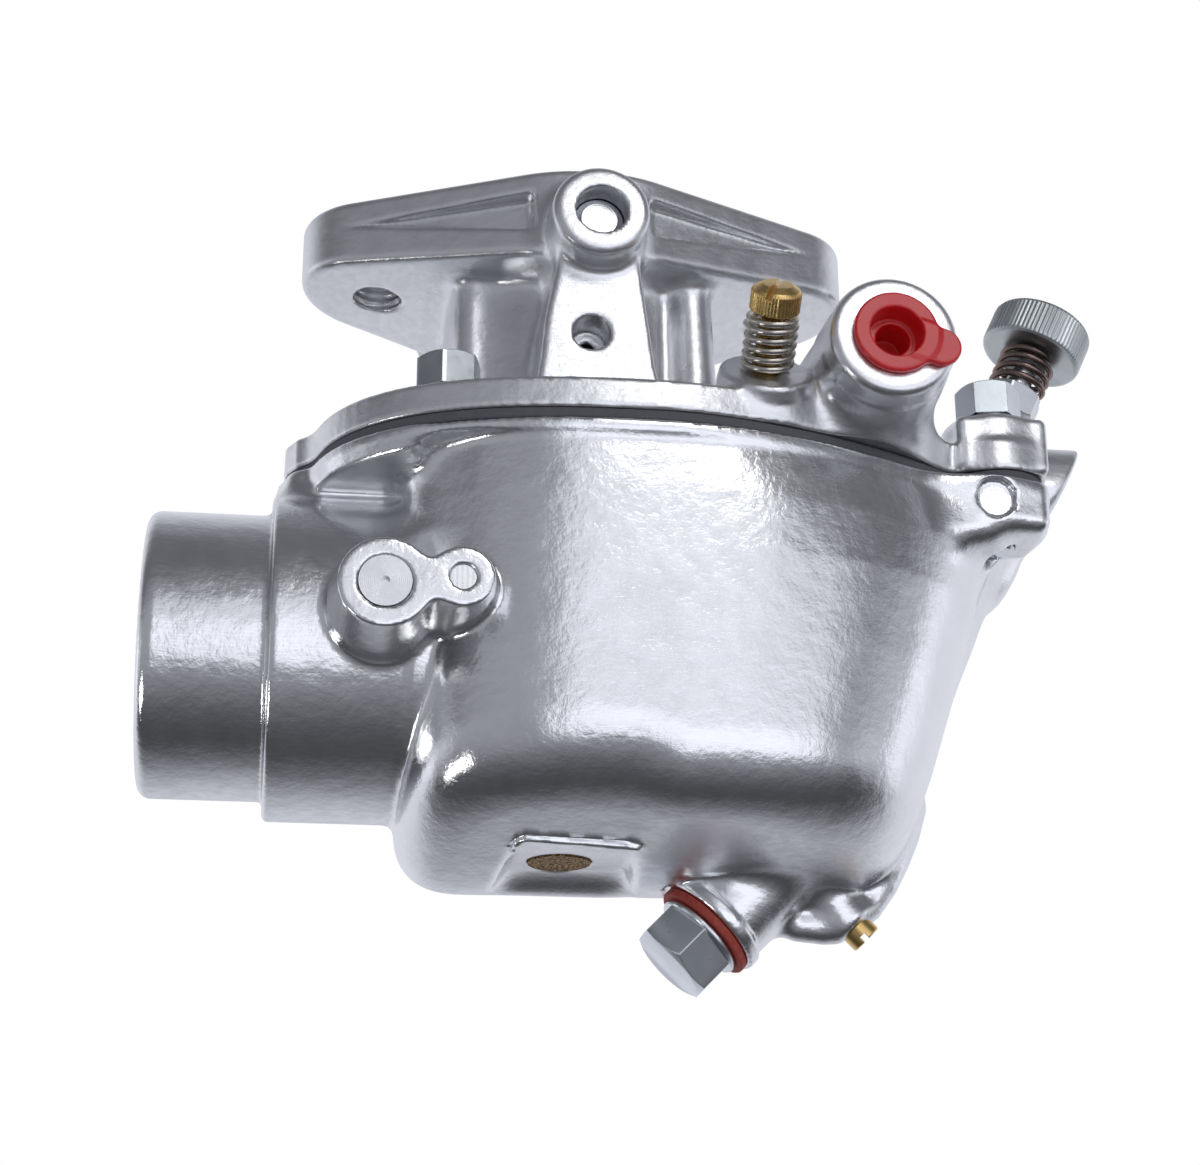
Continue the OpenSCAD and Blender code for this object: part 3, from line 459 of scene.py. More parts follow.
def add_cover_bosses(body):
    # fuel inlet and gallery
    body.add(rod((45, -36, -35.3), (44.6, -12, -37), 10.3, 12.4), 6.0)
    body.add(rod_y(*INLET, -42, -30, 10.15, 10.6, 1.3), 1.0)
    body.add(rod_y(*GALLERY, -20, 6, 8.2, 8.2, 2), 4.0)
    body.add(rod_z(42, 0, -46, -34, 9.6, 9.2, 1.5), 3.0)
    # idle boss with its round foot
    body.add(rod_on(IDLE, -13, -1.5, 7.4, 6.4), 3.0)
    body.add(rod_on(IDLE, -2.6, 0, 7.5, 7.4, 0.7), 0.6)
    foot = extrude(circle(26.5, -23, 10.0), -47.2, -40.0, 2)
    body.add((foot, ((10, -40, -50), (42, -8, -34))), 4.0)
    # main needle gland
    body.add(rod_on(MAIN, 71, 93, 7.2, 5.7, 0.6), 3.0)
    body.add(right_rear_boss(), 2.0)
    # hinge posts
    for side in (-1, 1):
        body.add(brick((HINGE_X, side * 7.9, -52.6), (3.2, 1.5, 6.6), 0.5), 0.8)
    # screw pad
    body.add(brick((-12.75, 21.5, -28), (3.75, 13.5, 4), 1.0), 1.0)
    body.add(brick((-12.75, 15, -37), (3.75, 7, 9), 1.0), 2.0)


def flange_pocket(side_x, side_y):
    """Long wedge in a flange side that opens towards the shaft boss."""

    def distance(x, y, z):
        across, out = side_x * x, side_y * y
        normal = across * SIDE_SIN + out * SIDE_COS
        inset = 29 - (across * SIDE_COS - out * SIDE_SIN)
        d = soft_max(z + 5.0 - 0.035 * inset, -z - 5.2 - 0.18 * inset, 0.5)
        d = soft_max(d, 26.55 - 0.085 * inset - normal, 0.8)
        return soft_max(d, 9.6 - across, 1.2)

    x0, x1 = sorted((side_x * 8, side_x * 44))
    y0, y1 = sorted((side_y * 6, side_y * 31))
    return distance, ((x0, y0, -13), (x1, y1, -2))


def cut_flange(body):
    # all above the flange face
    body.cut((lambda x, y, z: -z, ((-50, -30, -3), (50, 30, 4))))

    def below_cover(x, y, z):
        # all below the gasket face, and a block round the hinge
        block = np.maximum(np.abs(x - HINGE_X) - 3.6, np.abs(y) - 9.8)
        return np.minimum(z - COVER_Z, block)

    body.cut((below_cover, ((-52, -46, -61), (98, 46, -46))))
    body.cut(rod_z(0, 0, -60, 10, 15.9), 0.3)
    for x in (-EAR_X, EAR_X):
        hole = threaded((x, 0, -16), (x, 0, 4), radius=4.05, pitch=1.5875, depth=0.75)
        body.cut(hole, 0.25)
        body.cut(rod_z(x, 0, -13.6, -11.8, 5.3, 3.4), 0.3)
        body.cut(rod_z(x, 0, -0.6, 1.0, 3.6, 5.4), 0.3)
    for side_x in (-1, 1):
        for side_y in (-1, 1):
            body.cut(flange_pocket(side_x, side_y), 0.6)


def cut_cover(body):
    # shaft bore and seal recess
    body.cut(rod_y(0, THROTTLE_Z, -40, 40, 4.12), 0.25)
    body.cut(rod_y(0, THROTTLE_Z, 28, 33, 6.05), 0.2)
    # stepped hole in the face of the front rib
    body.cut(rod_y(-1, -31.5, -31.6, -24, 3.0), 0.35)
    body.cut(rod_y(-1, -31.5, -26, -15, 1.2), 0.2)
    for x, y, seat, _ in BOLTS:
        body.cut(rod_z(x, y, -50, seat + 2, 3.1), 0.1)
        body.cut(rod_z(x, y, seat, seat + 20, 6.2), 0.5)
    # inlet, gallery and its upright hole
    body.cut(rod_y(*INLET, -44, -28, 5.6), 0.5)
    body.cut(rod_y(*GALLERY, -29, 0, 2.6), 0.2)
    body.cut(rod_z(42, 0, -50, -38.6, 4.95), 0.1)
    # needle holes
    body.cut(rod_on(IDLE, -10.2, 2, 2.45), 0.2)
    body.cut(rod_on(MAIN, 58, 97, 2.9), 0.1)
    body.cut(rod_on(MAIN, 80, 97, 4.4), 0.2)
    body.cut(rod_z(*PASSAGE, -50, -31, PASSAGE_R), 0.1)
    body.cut(rod_y(HINGE_X, -56.2, -12, 12, 1.27), 0.1)
    # right rear boss
    body.cut(rod_x(*REAR_BOSS, 80, 104, 2.6), 0.3)
    body.cut(rod_x(*REAR_BOSS, 86.8, 104, 4.6), 0.4)
    # shallow recess in the gasket face
    body.cut(brick((21, 24, -46.7), (11, 4, 1.5), 0.5), 0.4)


def upper_casting():
    body = Field((-52, -46, -61), (98, 46, 3), 0.42)
    add_cover_and_flange(body)
    add_neck(body)
    add_cover_bosses(body)
    cut_flange(body)
    cut_cover(body)
    return body


# ---------------------------------------------------------------- fuel bowl casting
# depth below z 0, left x, right x, half width, power of the right half;
# widest at the gasket, where the wall is flush with it
BOWL_STATIONS = [
    (48, -28, 72.6, 37.1, 1.66), (53, -28.2, 71.4, 37.0, 1.8),
    (60, -28.4, 69.4, 36.8, 2.05), (69, -28.5, 66.6, 36.4, 2.25),
    (82, -28.6, 62.4, 35.8, 2.35), (96, -28.8, 57.6, 35.3, 2.4),
    (108, -28.9, 53.0, 34.8, 2.4), (118, -29, 49.0, 34.2, 2.4),
]
BOWL_MIDDLE = 10.0
BOWL_LEFT_POWER = 3.4

# x, y, z along the rim of the web under the bowl
WEB_RIM = [
    (55.6, 1.5, -99.0), (54.2, 1.2, -103.5), (52.3, 1.0, -107.8), (50.0, 0.6, -112.0),
    (47.2, 0.3, -115.8), (43.8, 0, -118.4), (39.8, 0, -119.6), (35.6, 0, -119.2),
    (31.0, 0, -117.5), (26, 0, -115.5)]
# x, z of the thin plate inside that rim
WEB_PLATE = [
    (24, -104), (56, -96), (54.2, -103.5), (50.0, -112), (43.8, -118.4),
    (39.8, -119.6), (35.6, -119.2), (26, -115.5)]
# x, y, z along the raised rim of the drip filter pocket
POCKET_RIM = [(-11.2, -14.6, -111.9), (-10.9, -16.4, -111.3), (-9.6, -17.5, -110.8),
              (7.6, -16.2, -111.35)]


def bowl_section(x, y, z, inset):
    """Egg-shaped bowl wall, as an approximate distance."""
    depths, *columns = zip(*BOWL_STATIONS)
    left, right, half, power = (np.interp(-z, depths, column) for column in columns)
    on_left = x < BOWL_MIDDLE
    reach = np.where(on_left, BOWL_MIDDLE - (left + inset), right - inset - BOWL_MIDDLE)
    half = half - inset
    power = np.where(on_left, BOWL_LEFT_POWER, power)
    u = np.maximum(np.abs(x - BOWL_MIDDLE) / reach, 1e-6)
    v = np.maximum(np.abs(y) / half, 1e-6)
    level = (u ** power + v ** power) ** (1 / power)
    # dividing by the gradient's length turns the level into a fair distance
    slope_u = (u / np.maximum(level, 1e-3)) ** (power - 1) / reach
    slope_v = (v / np.maximum(level, 1e-3)) ** (power - 1) / half
    return (level - 1) / np.sqrt(slope_u * slope_u + slope_v * slope_v)


def bowl_floor(x, y):
    """Height of the underside of the bowl."""
    q = np.clip((x - 4) / 10, 0, 1)
    q = q * q * (3 - 2 * q)
    side = np.sqrt(y * y + 30) - 5.5
    return (0.36 * side - 115.4) * (1 - q) + (0.24 * side - 114.6) * q


def bowl_wall(x, y, z):
    return soft_max(bowl_section(x, y, z, 0), bowl_floor(x, y) - z, 10.5) + 0.3


def choke_pad(x, y, z):
    """Drafted figure-of-eight round the choke shaft and small plug, flat at the front."""
    run, rise = SMALL_X - CHOKE_X, SMALL_Z - HORN_Z
    shaft = np.sqrt((x - CHOKE_X) ** 2 + (z - HORN_Z) ** 2) - 6.95
    plug = np.sqrt((x - SMALL_X) ** 2 + (z - SMALL_Z) ** 2) - 4.6
    t = np.clip((x - CHOKE_X) / run, 0, 1)
    waist = np.sqrt((x - CHOKE_X - t * run) ** 2 + (z - HORN_Z - t * rise) ** 2) - 2.7
    d = soft_min(soft_min(shaft, plug, 1.4), waist, 2.6) - 0.15 * np.clip(y + 38, 0, 9)
    return np.maximum(rounded(d, -37.8 - y, 0.35), y + 22)


def add_bowl(body):
    body.add((bowl_wall, None))
    body.add(capsule(point_on(MAIN, 9), point_on(MAIN, 46), 11.6, 9.2), 5.0)
    body.add(capsule(point_on(MAIN, 40), point_on(MAIN, 64), 9.0, 11.4), 4.0)
    # air horn, its thicker part and the elbow
    body.add(rod_x(0, HORN_Z, HORN_X, -40, 22.9, 22.9, 2.2), 0.4)
    body.add(rod_x(0, HORN_Z, -49.5, -20, 26.0, 26.0, 1.0), 0.8)
    body.add(rod((-27, 0, HORN_Z), (-10, 0, HORN_Z - 1), 26.0, 25.6), 2.0)
    # web between horn and top flange
    body.add(brick((-37.5, 0, -55), (10.2, 11.5, 7), 3.0), 4.0)


def add_top_flange(body):
    def plan(x, y):
        return outline(x, y, 0.1)

    body.add((extrude(plan, -51.0, -48.8, 0.3), ((-60, -50, -58), (82, 50, -46))), 2.0)
    lip = extrude(plan, -53.4, -48.8, 0.5)

    def left_lip(x, y, z):
        return soft_max(lip(x, y, z), x + 27, 4.0)

    body.add((left_lip, ((-60, -50, -58), (-20, 50, -46))), 3.0)
    block = brick((68, 9.5, -54), (16, 7.5, 7.0), 3.0)[0]

    def rear_wall(x, y, z):
        # slopes below the right rear boss
        return soft_max(block(x, y, z), slanted(x, z, 80.6, -48.8, 0.869, 0.495), 2.0)

    body.add((rear_wall, ((48, -4, -66), (84, 22, -46))), 4.0)
    for x, y, _, radius in BOLTS:
        if x < 0:
            body.add(rod_z(x, y, -66, -48.9, radius - 0.6, radius - 0.4, 1.4), 6.0)
        else:
            body.add(rod_z(x, y, -57.0, -48.9, radius + 0.6, radius + 0.9, 1.4), 3.0)
    # right front lug
    body.add(rod_z(61, -14, -60, -49, 8.0, 9, 2), 6.0)
    body.add(brick((68.2, -14.2, -53.4), (7.4, 7.3, 4.6), 2.2), 1.5)


def add_bowl_bosses(body):
    # choke bosses
    body.add(rod_y(CHOKE_X, HORN_Z, 20, 38, 8.9, 6.6, 0.5), 2.6)
    body.add((choke_pad, ((-46, -40, -92), (-10, -20, -62))), 1.3)
    # drain boss
    body.add(rod_on(DRAIN, -22, -1, 8.7, 8.4, 0.5), 3.0)
    body.add(rod_on(DRAIN, -2.4, 0, 9.15, 9.1, 0.5), 0.5)
    # rimmed web from the drain boss to the bowl's right edge
    rim = [capsule(p, q, 2.5) for p, q in zip(WEB_RIM[:-1], WEB_RIM[1:])]
    plate = extrude(polygon(WEB_PLATE), -1.5, 1.5, 0.2, "y")

    def web(x, y, z):
        return soft_min(nearest(rim, x, y, z), plate(x, y, z), 1.0)

    body.add((web, ((18, -8, -126), (62, 8, -94))), 1.6)
    body.add(rod_on(PLUG, -9, 0, 4.4, 3.7, 0.5), 2.0)


def fuel_chamber():
    well = capsule(point_on(MAIN, 30), point_on(MAIN, 76), 9.0)[0]
    # metal left standing inside the chamber
    kept = [
        rod_x(0, HORN_Z, -30, ELBOW_X, 22.8), ball((ELBOW_X, 0, HORN_Z), 22.8),
        ball(BEND, 22.7), rod_z(0, 0, -90, -46, 19.5), rod_z(0, 0, -53.8, -46, 22.0),
        *(rod_z(x, y, -66, -44, radius) for x, y, _, radius in BOLTS),
        rod_on(MAIN, -4, 10, 6.5), rod_on(NOZZLE, -62, -44, 7.0), rod_on(DRAIN, -22, 0, 8.0),
        rod_z(*PASSAGE, -112, -45, 4.0), brick((25, 6, -110.5), (15, 4, 3.5)),
    ]

    def distance(x, y, z):
        d = bowl_section(x, y, z, 3.2)
        d = soft_max(d, np.maximum(bowl_floor(x, y) + 3.8, -109.0) - z, 8.0) + 0.4
        d = soft_min(d, well(x, y, z), 3.0)
        return soft_max(d, -nearest(kept, x, y, z), 0.8)

    return distance, ((-27, -38, -113), (80, 38, -46))


def air_passage():
    horn = [rod_x(0, HORN_Z, HORN_X - 4, ELBOW_X, AIR_R), ball((ELBOW_X, 0, HORN_Z), AIR_R)]
    bend = ball(BEND, AIR_R)[0]
    riser = rod_z(0, 0, HORN_Z, -44, RISER_R)[0]
    nozzle = rod_on(NOZZLE, -60, -45, 6.0)[0]

    def distance(x, y, z):
        d = soft_min(nearest(horn, x, y, z), bend(x, y, z), 1.5)
        d = soft_min(d, riser(x, y, z), 0.8)
        return soft_max(d, -nozzle(x, y, z), 0.5)

    return distance, ((-72, -22, -108), (20, 22, -46))


def filter_pocket(x, y, z):
    """Flared pocket in the underside of the bowl."""
    depth = -111.0 - z
    d = soft_max(np.abs(x + 1.75) - 9.0 - 0.7 * depth, y - 1.6 - 1.3 * depth, 4.5)
    d = soft_max(d, -(y + 24), 1.0)
    return soft_max(d, z + 111.0, 1.6)


def cut_bowl(body):
    body.cut(fuel_chamber(), 0.6)
    body.cut(air_passage(), 0.5)
    # horn mouth and the recess round the riser
    body.cut(rod_x(0, HORN_Z, HORN_X - 1, HORN_X + 0.9, 21.6, 20.0), 0.3)
    body.cut(rod_z(0, 0, -50.4, -44, 19.05), 0.1)
    # choke shaft and small plug
    body.cut(rod_y(CHOKE_X, HORN_Z, -42, 42, 4.03), 0.12)
    body.cut(rod_y(CHOKE_X, HORN_Z, 34.6, 42, 5.55), 0.1)
    body.cut(rod_y(SMALL_X, SMALL_Z, -40, -31, 1.97), 0.15)
    for x, y, _, _ in BOLTS:
        body.cut(rod_z(x, y, -65 if x < 0 else -70, -46, 2.8), 0.15)
    # ejector mark on the right front lug
    body.cut(rod_y(65.9, -53.2, -26, -21.6, 3.35), 0.15)
    body.cut(rod_on(NOZZLE, -54, -44, 3.95), 0.1)
    body.cut(rod_on(MAIN, -2.5, 11.5, 3.05), 0.1)
    # drain: threaded part, inner hole, clear space outside
    body.cut(rod_on(DRAIN, -11, 1, 4.95), 0.1)
    body.cut(rod_on(DRAIN, -19, -7, 3.4), 0.1)
    body.cut(rod_on(DRAIN, 0, 14, 9.3), 0.15)
    body.cut(rod_on(PLUG, -9, 1, 2.02), 0.1)
    # drip filter pocket with a raised rim
    body.cut((filter_pocket, ((-22, -26, -122), (18, 14, -108))), 1.6)
    for p, q in zip(POCKET_RIM[:-1], POCKET_RIM[1:]):
        body.add(capsule(p, q, 0.62), 0.35)
    body.cut(rod_z(-3, -4, -114, -108, 5.0), 0.15)
    body.cut(rod_z(-3, -4, -109, -100, 1.5), 0.1)
    body.cut(rod_z(*PASSAGE, -105.8, -46, PASSAGE_R), 0.1)
    # all above the top face
    body.cut((lambda x, y, z: BOWL_Z - z, ((-72, -48, -52), (82, 48, -46))))


def lower_casting():
    body = Field((-72, -48, -128), (82, 48, -46), 0.45)
    add_bowl(body)
    add_top_flange(body)
    add_bowl_bosses(body)
    cut_bowl(body)
    return body


# ---------------------------------------------------------------- materials
class Graph:
    """Short calls that add shader nodes to a tree."""

    def __init__(self, tree):
        self.tree = tree
        tree.nodes.clear()

    def feed(self, socket, value):
        """Links another socket, or sets a fixed value."""
        if isinstance(value, bpy.types.NodeSocket):
            self.tree.links.new(value, socket)
        else:
            socket.default_value = (*value, 1) if socket.type == "RGBA" else value

    def fill(self, node, inputs):
        for key, value in inputs.items():
            self.feed(node.inputs[key], value)

    def node(self, kind, inputs=None, **settings):
        node = self.tree.nodes.new("ShaderNode" + kind)
        for key, value in settings.items():
            setattr(node, key, value)
        self.fill(node, inputs or {})
        return node

    def math(self, operation, *values, clamp=False):
        node = self.node("Math", dict(enumerate(values)), operation=operation, use_clamp=clamp)
        return node.outputs[0]

    def add(self, a, b):
        return self.math("ADD", a, b)

    def mul(self, a, b, clamp=False):
        return self.math("MULTIPLY", a, b, clamp=clamp)

    def sub(self, a, b, clamp=False):
        return self.math("SUBTRACT", a, b, clamp=clamp)

    def spread(self, value, by, start):
        """start + by * value"""
        return self.add(self.mul(value, by), start)

    def coords(self, scale=(1, 1, 1)):
        source = self.node("TexCoord").outputs["Object"]
        return self.node("Mapping", {"Vector": source, "Scale": scale}).outputs["Vector"]

    def noise(self, vector, scale, detail=3.0, rough=0.55, distortion=0.0):
        return self.node("TexNoise", {
            "Scale": scale, "Detail": detail, "Roughness": rough,
            "Distortion": distortion, "Vector": vector}).outputs["Fac"]

    def ramp(self, value, *stops):
        """stops are (position, grey)"""
        node = self.node("ValToRGB", {"Fac": value})
        elements = node.color_ramp.elements
        while len(elements) < len(stops):
            elements.new(0.5)
        for i, (position, grey) in enumerate(stops):
            elements[i].position = position
            elements[i].color = (grey, grey, grey, 1)
        return node.outputs["Color"]

    def mix(self, factor, a, b):
        return self.node("Mix", {0: factor, 6: a, 7: b}, data_type="RGBA").outputs[2]

    def bump(self, height, strength, distance, under=None):
        inputs = {"Strength": strength, "Distance": distance, "Height": height}
        if under is not None:
            inputs["Normal"] = under
        return self.node("Bump", inputs).outputs[0]

    def edge_wear(self, radius):
        """0 on flat faces, rising at edges."""
        soft = self.node("Bevel", {"Radius": radius}, samples=3).outputs[0]
        normal = self.node("NewGeometry").outputs["Normal"]
        facing = self.node("VectorMath", {0: soft, 1: normal}, operation="DOT_PRODUCT")
        return self.sub(1.0, facing.outputs["Value"], clamp=True)


class Surface(Graph):
    """Material with one principled shader."""

    def __init__(self, name):
        self.material = bpy.data.materials.new(name)
        self.material.use_nodes = True
        super().__init__(self.material.node_tree)
        self.output = self.node("OutputMaterial")
        self.shader = self.node("BsdfPrincipled")
        self.feed(self.output.inputs[0], self.shader.outputs[0])

    def finish(self, colour, roughness, normal, metallic=0.0):
        self.fill(self.shader, {"Base Color": colour, "Roughness": roughness,
                                "Normal": normal, "Metallic": metallic})
        return self.material


def shade(colour, factor, lift=0.0):
    return tuple(min(1, c * factor + lift) for c in colour)


def cast_metal(name, base=(0.86, 0.87, 0.885), rough=0.20, peel=0.5, coarse_under=0.0):
    """Tumbled die casting: bright, softly dimpled and finely scratched."""
    s = surface = Surface(name)
    where = s.coords()
    patches = s.noise(where, scale=38, detail=3, rough=0.5)
    dimples = s.noise(where, scale=260, detail=4, rough=0.6)
    grain = s.noise(where, scale=1300, detail=3, rough=0.6)
    scratches = s.noise(s.coords((1, 1, 14)), scale=420, detail=2, rough=0.5, distortion=0.6)
    colour = s.mix(s.ramp(patches, (0.3, 0.0), (0.7, 1.0)), shade(base, 0.86), base)
    colour = s.mix(s.ramp(dimples, (0.35, 0.0), (0.62, 0.35)), colour, shade(base, 1.06))
    roughness = s.spread(dimples, by=0.16, start=rough - 0.06)
    scratched = s.ramp(scratches, (0.42, 0.0), (0.60, 1.0))
    roughness = s.add(roughness, s.mul(scratched, 0.07))
    if coarse_under:
        # the skin of the underside is coarser: full where the normal points well down
        normal = s.node("NewGeometry").outputs["Normal"]
        upward = s.node("SeparateXYZ", {0: normal}).outputs[2]
        down = s.mul(s.sub(s.mul(upward, -1.0), 0.78), 6.0, clamp=True)
        roughness = s.add(roughness, s.mul(down, coarse_under))
    normal = s.bump(dimples, strength=0.22 * peel, distance=0.00045)
    normal = s.bump(grain, strength=0.12 * peel, distance=0.00010, under=normal)
    normal = s.bump(scratches, strength=0.05, distance=0.00008, under=normal)
    return surface.finish(colour, roughness, normal, metallic=1.0)


def turned(name, base, rough, centre=(0, 0, 0), axis="Z", rings_per_metre=2600):
    """Turned metal: fine rings round the axis."""
    surface = Surface(name)
    where = surface.node("TexCoord").outputs["Object"]
    split = surface.node("SeparateXYZ")
    offset = surface.node("VectorMath", {0: where, 1: [c * MM for c in centre]},
                          operation="SUBTRACT")
    surface.feed(split.inputs[0], offset.outputs[0])
    squares = [surface.math("POWER", split.outputs[i], 2)
               for i in {"Y": (0, 2), "Z": (0, 1)}[axis]]
    radius = surface.math("SQRT", surface.add(*squares))
    rings = surface.math("SINE", surface.mul(radius, rings_per_metre * 6.28))
    grain = surface.noise(where, scale=700, detail=3)
    colour = surface.mix(surface.ramp(grain, (0.3, 0.0), (0.7, 1.0)), shade(base, 0.92), base)
    roughness = surface.spread(grain, by=0.14, start=rough - 0.05)
    normal = surface.bump(rings, strength=0.12, distance=0.00002)
    normal = surface.bump(grain, strength=0.10, distance=0.00006, under=normal)
    return surface.finish(colour, roughness, normal, metallic=1.0)


def plated(name, base, rough=0.22, scale=500, tint=0.85, bump=0.15):
    """Plated or plain metal with patches, bright edges and rounded corners."""
    surface = Surface(name)
    where = surface.coords()
    grain = surface.noise(where, scale, detail=4, rough=0.6)
    patches = surface.noise(where, scale * 0.16, detail=2)
    wear = surface.edge_wear(radius=0.0005)
    patches = surface.ramp(patches, (0.35, 0.0), (0.65, 1.0))
    colour = surface.mix(patches, shade(base, tint), base)
    colour = surface.mix(surface.mul(wear, 2.5, clamp=True), colour, shade(base, 1.15))
    roughness = surface.spread(grain, by=0.20, start=rough - 0.08)
    corners = surface.node("Bevel", {"Radius": 0.00028}, samples=4).outputs[0]
    normal = surface.bump(grain, strength=bump, distance=0.00008, under=corners)
    return surface.finish(colour, roughness, normal, metallic=1.0)


def gasket_sheet():
    surface = Surface("gasket_sheet")
    fibres = surface.noise(surface.coords(), scale=900, detail=5, rough=0.7)
    colour = surface.mix(fibres, (0.085, 0.088, 0.098), (0.15, 0.152, 0.165))
    roughness = surface.spread(fibres, by=0.2, start=0.55)
    return surface.finish(colour, roughness, surface.bump(fibres, strength=0.5, distance=0.0001))


def dull(name, dark, light, rough, scale, bump=0.4, coat=0.0, subsurface=0.0):
    """Fibre, plastic or rubber with paler edges."""
    surface = Surface(name)
    grain = surface.noise(surface.coords(), scale, detail=4, rough=0.6)
    wear = surface.edge_wear(radius=0.0006)
    colour = surface.mix(surface.ramp(grain, (0.3, 0.0), (0.7, 1.0)), dark, light)
    worn = surface.mul(wear, 1.2, clamp=True)
    colour = surface.mix(worn, colour, shade(light, 1.25, lift=0.02))
    roughness = surface.spread(grain, by=0.18, start=rough - 0.08)
    surface.fill(surface.shader, {"Coat Weight": coat})
    if subsurface:
        surface.fill(surface.shader, {
            "Subsurface Weight": subsurface, "Subsurface Scale": 0.002,
            "Subsurface Radius": (1.0, 0.25, 0.2)})
    normal = surface.bump(grain, strength=bump, distance=0.00006)
    return surface.finish(colour, roughness, normal)


def sintered():
    """Bronze grains with dark gaps."""
    surface = Surface("sintered_bronze")
    cells = surface.node("TexVoronoi", {"Scale": 2300, "Vector": surface.coords()})
    gaps = cells.outputs["Distance"]
    colour = surface.mix(surface.ramp(gaps, (0.1, 0.0), (0.6, 1.0)),
                         (0.78, 0.55, 0.27), (0.22, 0.13, 0.06))
    roughness = surface.spread(gaps, by=0.4, start=0.38)
    normal = surface.bump(surface.sub(1.0, gaps), strength=0.9, distance=0.0003)
    return surface.finish(colour, roughness, normal, metallic=0.75)


# keyed by the frame's material slots, with a few more for single pieces
MATERIALS = {
    "cast_aluminium": cast_metal("cast_aluminium", (0.84, 0.85, 0.865), rough=0.28, peel=1.3),
    "bowl": cast_metal("cast_aluminium_bowl", rough=0.16, peel=1.5, coarse_under=0.17),
    "machined_aluminium": turned("machined_aluminium", (0.84, 0.85, 0.86), rough=0.26),
    "zinc_steel": plated("zinc_plate", (0.70, 0.74, 0.76), rough=0.20),
    "olive": plated("zinc_plate_olive", (0.56, 0.62, 0.60), rough=0.30),
    "bolt": plated("zinc_bolt", (0.68, 0.73, 0.75), rough=0.20, scale=420, tint=0.86, bump=0.10),
    "washer": plated("zinc_washer", (0.62, 0.66, 0.69), rough=0.28, tint=0.8),
    "plug": plated("zinc_plug", (0.76, 0.80, 0.83), scale=420, tint=0.9, bump=0.12),
    "knob": plated("zinc_knob", (0.60, 0.64, 0.64), rough=0.32, scale=700),
    "bare_steel": turned("bare_steel", (0.74, 0.75, 0.77), rough=0.22,
                         centre=(0, 0, THROTTLE_Z), axis="Y"),
    "choke": turned("bare_steel_choke", (0.80, 0.81, 0.83), rough=0.24,
                    centre=(CHOKE_X, 0, HORN_Z), axis="Y", rings_per_metre=3400),
    "spring_steel": plated("spring_wire", (0.66, 0.62, 0.56), rough=0.20, scale=300, tint=0.8,
                           bump=0.08),
    "bronzed_steel": plated("dark_spring_wire", (0.30, 0.22, 0.19), rough=0.25, scale=300,
                            tint=0.7, bump=0.08),
    "brass": plated("turned_brass", (0.80, 0.56, 0.22), rough=0.24, scale=800, tint=0.82,
                    bump=0.12),
    "sintered_bronze": sintered(),
    "gasket": gasket_sheet(),
    "red_fibre": dull("red_fibre", (0.42, 0.055, 0.035), (0.60, 0.10, 0.07), rough=0.62,
                      scale=1100),
    "red_plastic": dull("red_plastic", (0.72, 0.012, 0.018), (0.85, 0.025, 0.03), rough=0.30,
                        scale=260, bump=0.12, coat=0.25, subsurface=0.15),
    "seal": dull("black_seal", (0.015, 0.015, 0.016), (0.035, 0.035, 0.037), rough=0.55,
                 scale=800),
}

SLOT_OF = {part["node"]: part["material_slot"] for part in frame["record"]["subparts"]}
BODY_OF = {node: body for body, nodes in frame["record"]["behaviour"]["bodies"].items()
           for node in nodes}


def assign(ob, key):
    if len(ob.material_slots) == 0:
        ob.data.materials.append(MATERIALS[key])
    for slot in ob.material_slots:
        slot.material = MATERIALS[key]


def piece(ob, node, key):
    """Puts ob in place of a frame node, moving with the same body."""
    assign(ob, key)
    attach(ob, BODY_OF[node])
    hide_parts(node)


def build_casting(node, field, key):
    ob = field.to_object(node + "_shell")
    bm = bmesh.new()
    bm.from_mesh(ob.data)
    if bm.calc_volume(signed=True) < 0:
        bmesh.ops.reverse_faces(bm, faces=bm.faces[:])
        bm.to_mesh(ob.data)
    bm.free()
    piece(ob, node, key)


for frame_node, frame_object in frame["nodes"].items():
    assign(frame_object, SLOT_OF[frame_node])
assign(frame["nodes"]["throttle_lever"], "olive")
assign(frame["nodes"]["choke_shaft"], "choke")
build_casting("throttle_body", upper_casting(), "cast_aluminium")
build_casting("fuel_bowl", lower_casting(), "bowl")


# ---------------------------------------------------------------- turned and coiled pieces
HEX = -1   # a profile radius that stands for the hexagon's side


def place(name, points, faces, matrix=None, sharp=32):
    """Object from local millimetre points, moved by a matrix in millimetres."""
    mesh = bpy.data.meshes.new(name)
    if matrix is not None:
        points = [matrix @ Vector(p) for p in points]
    mesh.from_pydata([(p[0] * MM, p[1] * MM, p[2] * MM) for p in points], [], faces)
    bm = bmesh.new()
    bm.from_mesh(mesh)
    bmesh.ops.remove_doubles(bm, verts=bm.verts[:], dist=1e-7)
    bmesh.ops.recalc_face_normals(bm, faces=bm.faces[:])
    bm.to_mesh(mesh)
    bm.free()
    ob = add_object(name, mesh)
    mesh.set_sharp_from_angle(angle=math.radians(sharp))
    return ob


def ring_faces(rings, steps):
    """Quads between successive closed rings of points."""
    return [(j * steps + i, j * steps + (i + 1) % steps,
             (j + 1) * steps + (i + 1) % steps, (j + 1) * steps + i)
            for j in range(rings - 1) for i in range(steps)]


def end_face(ring, steps):
    return tuple(range(ring * steps, (ring + 1) * steps))


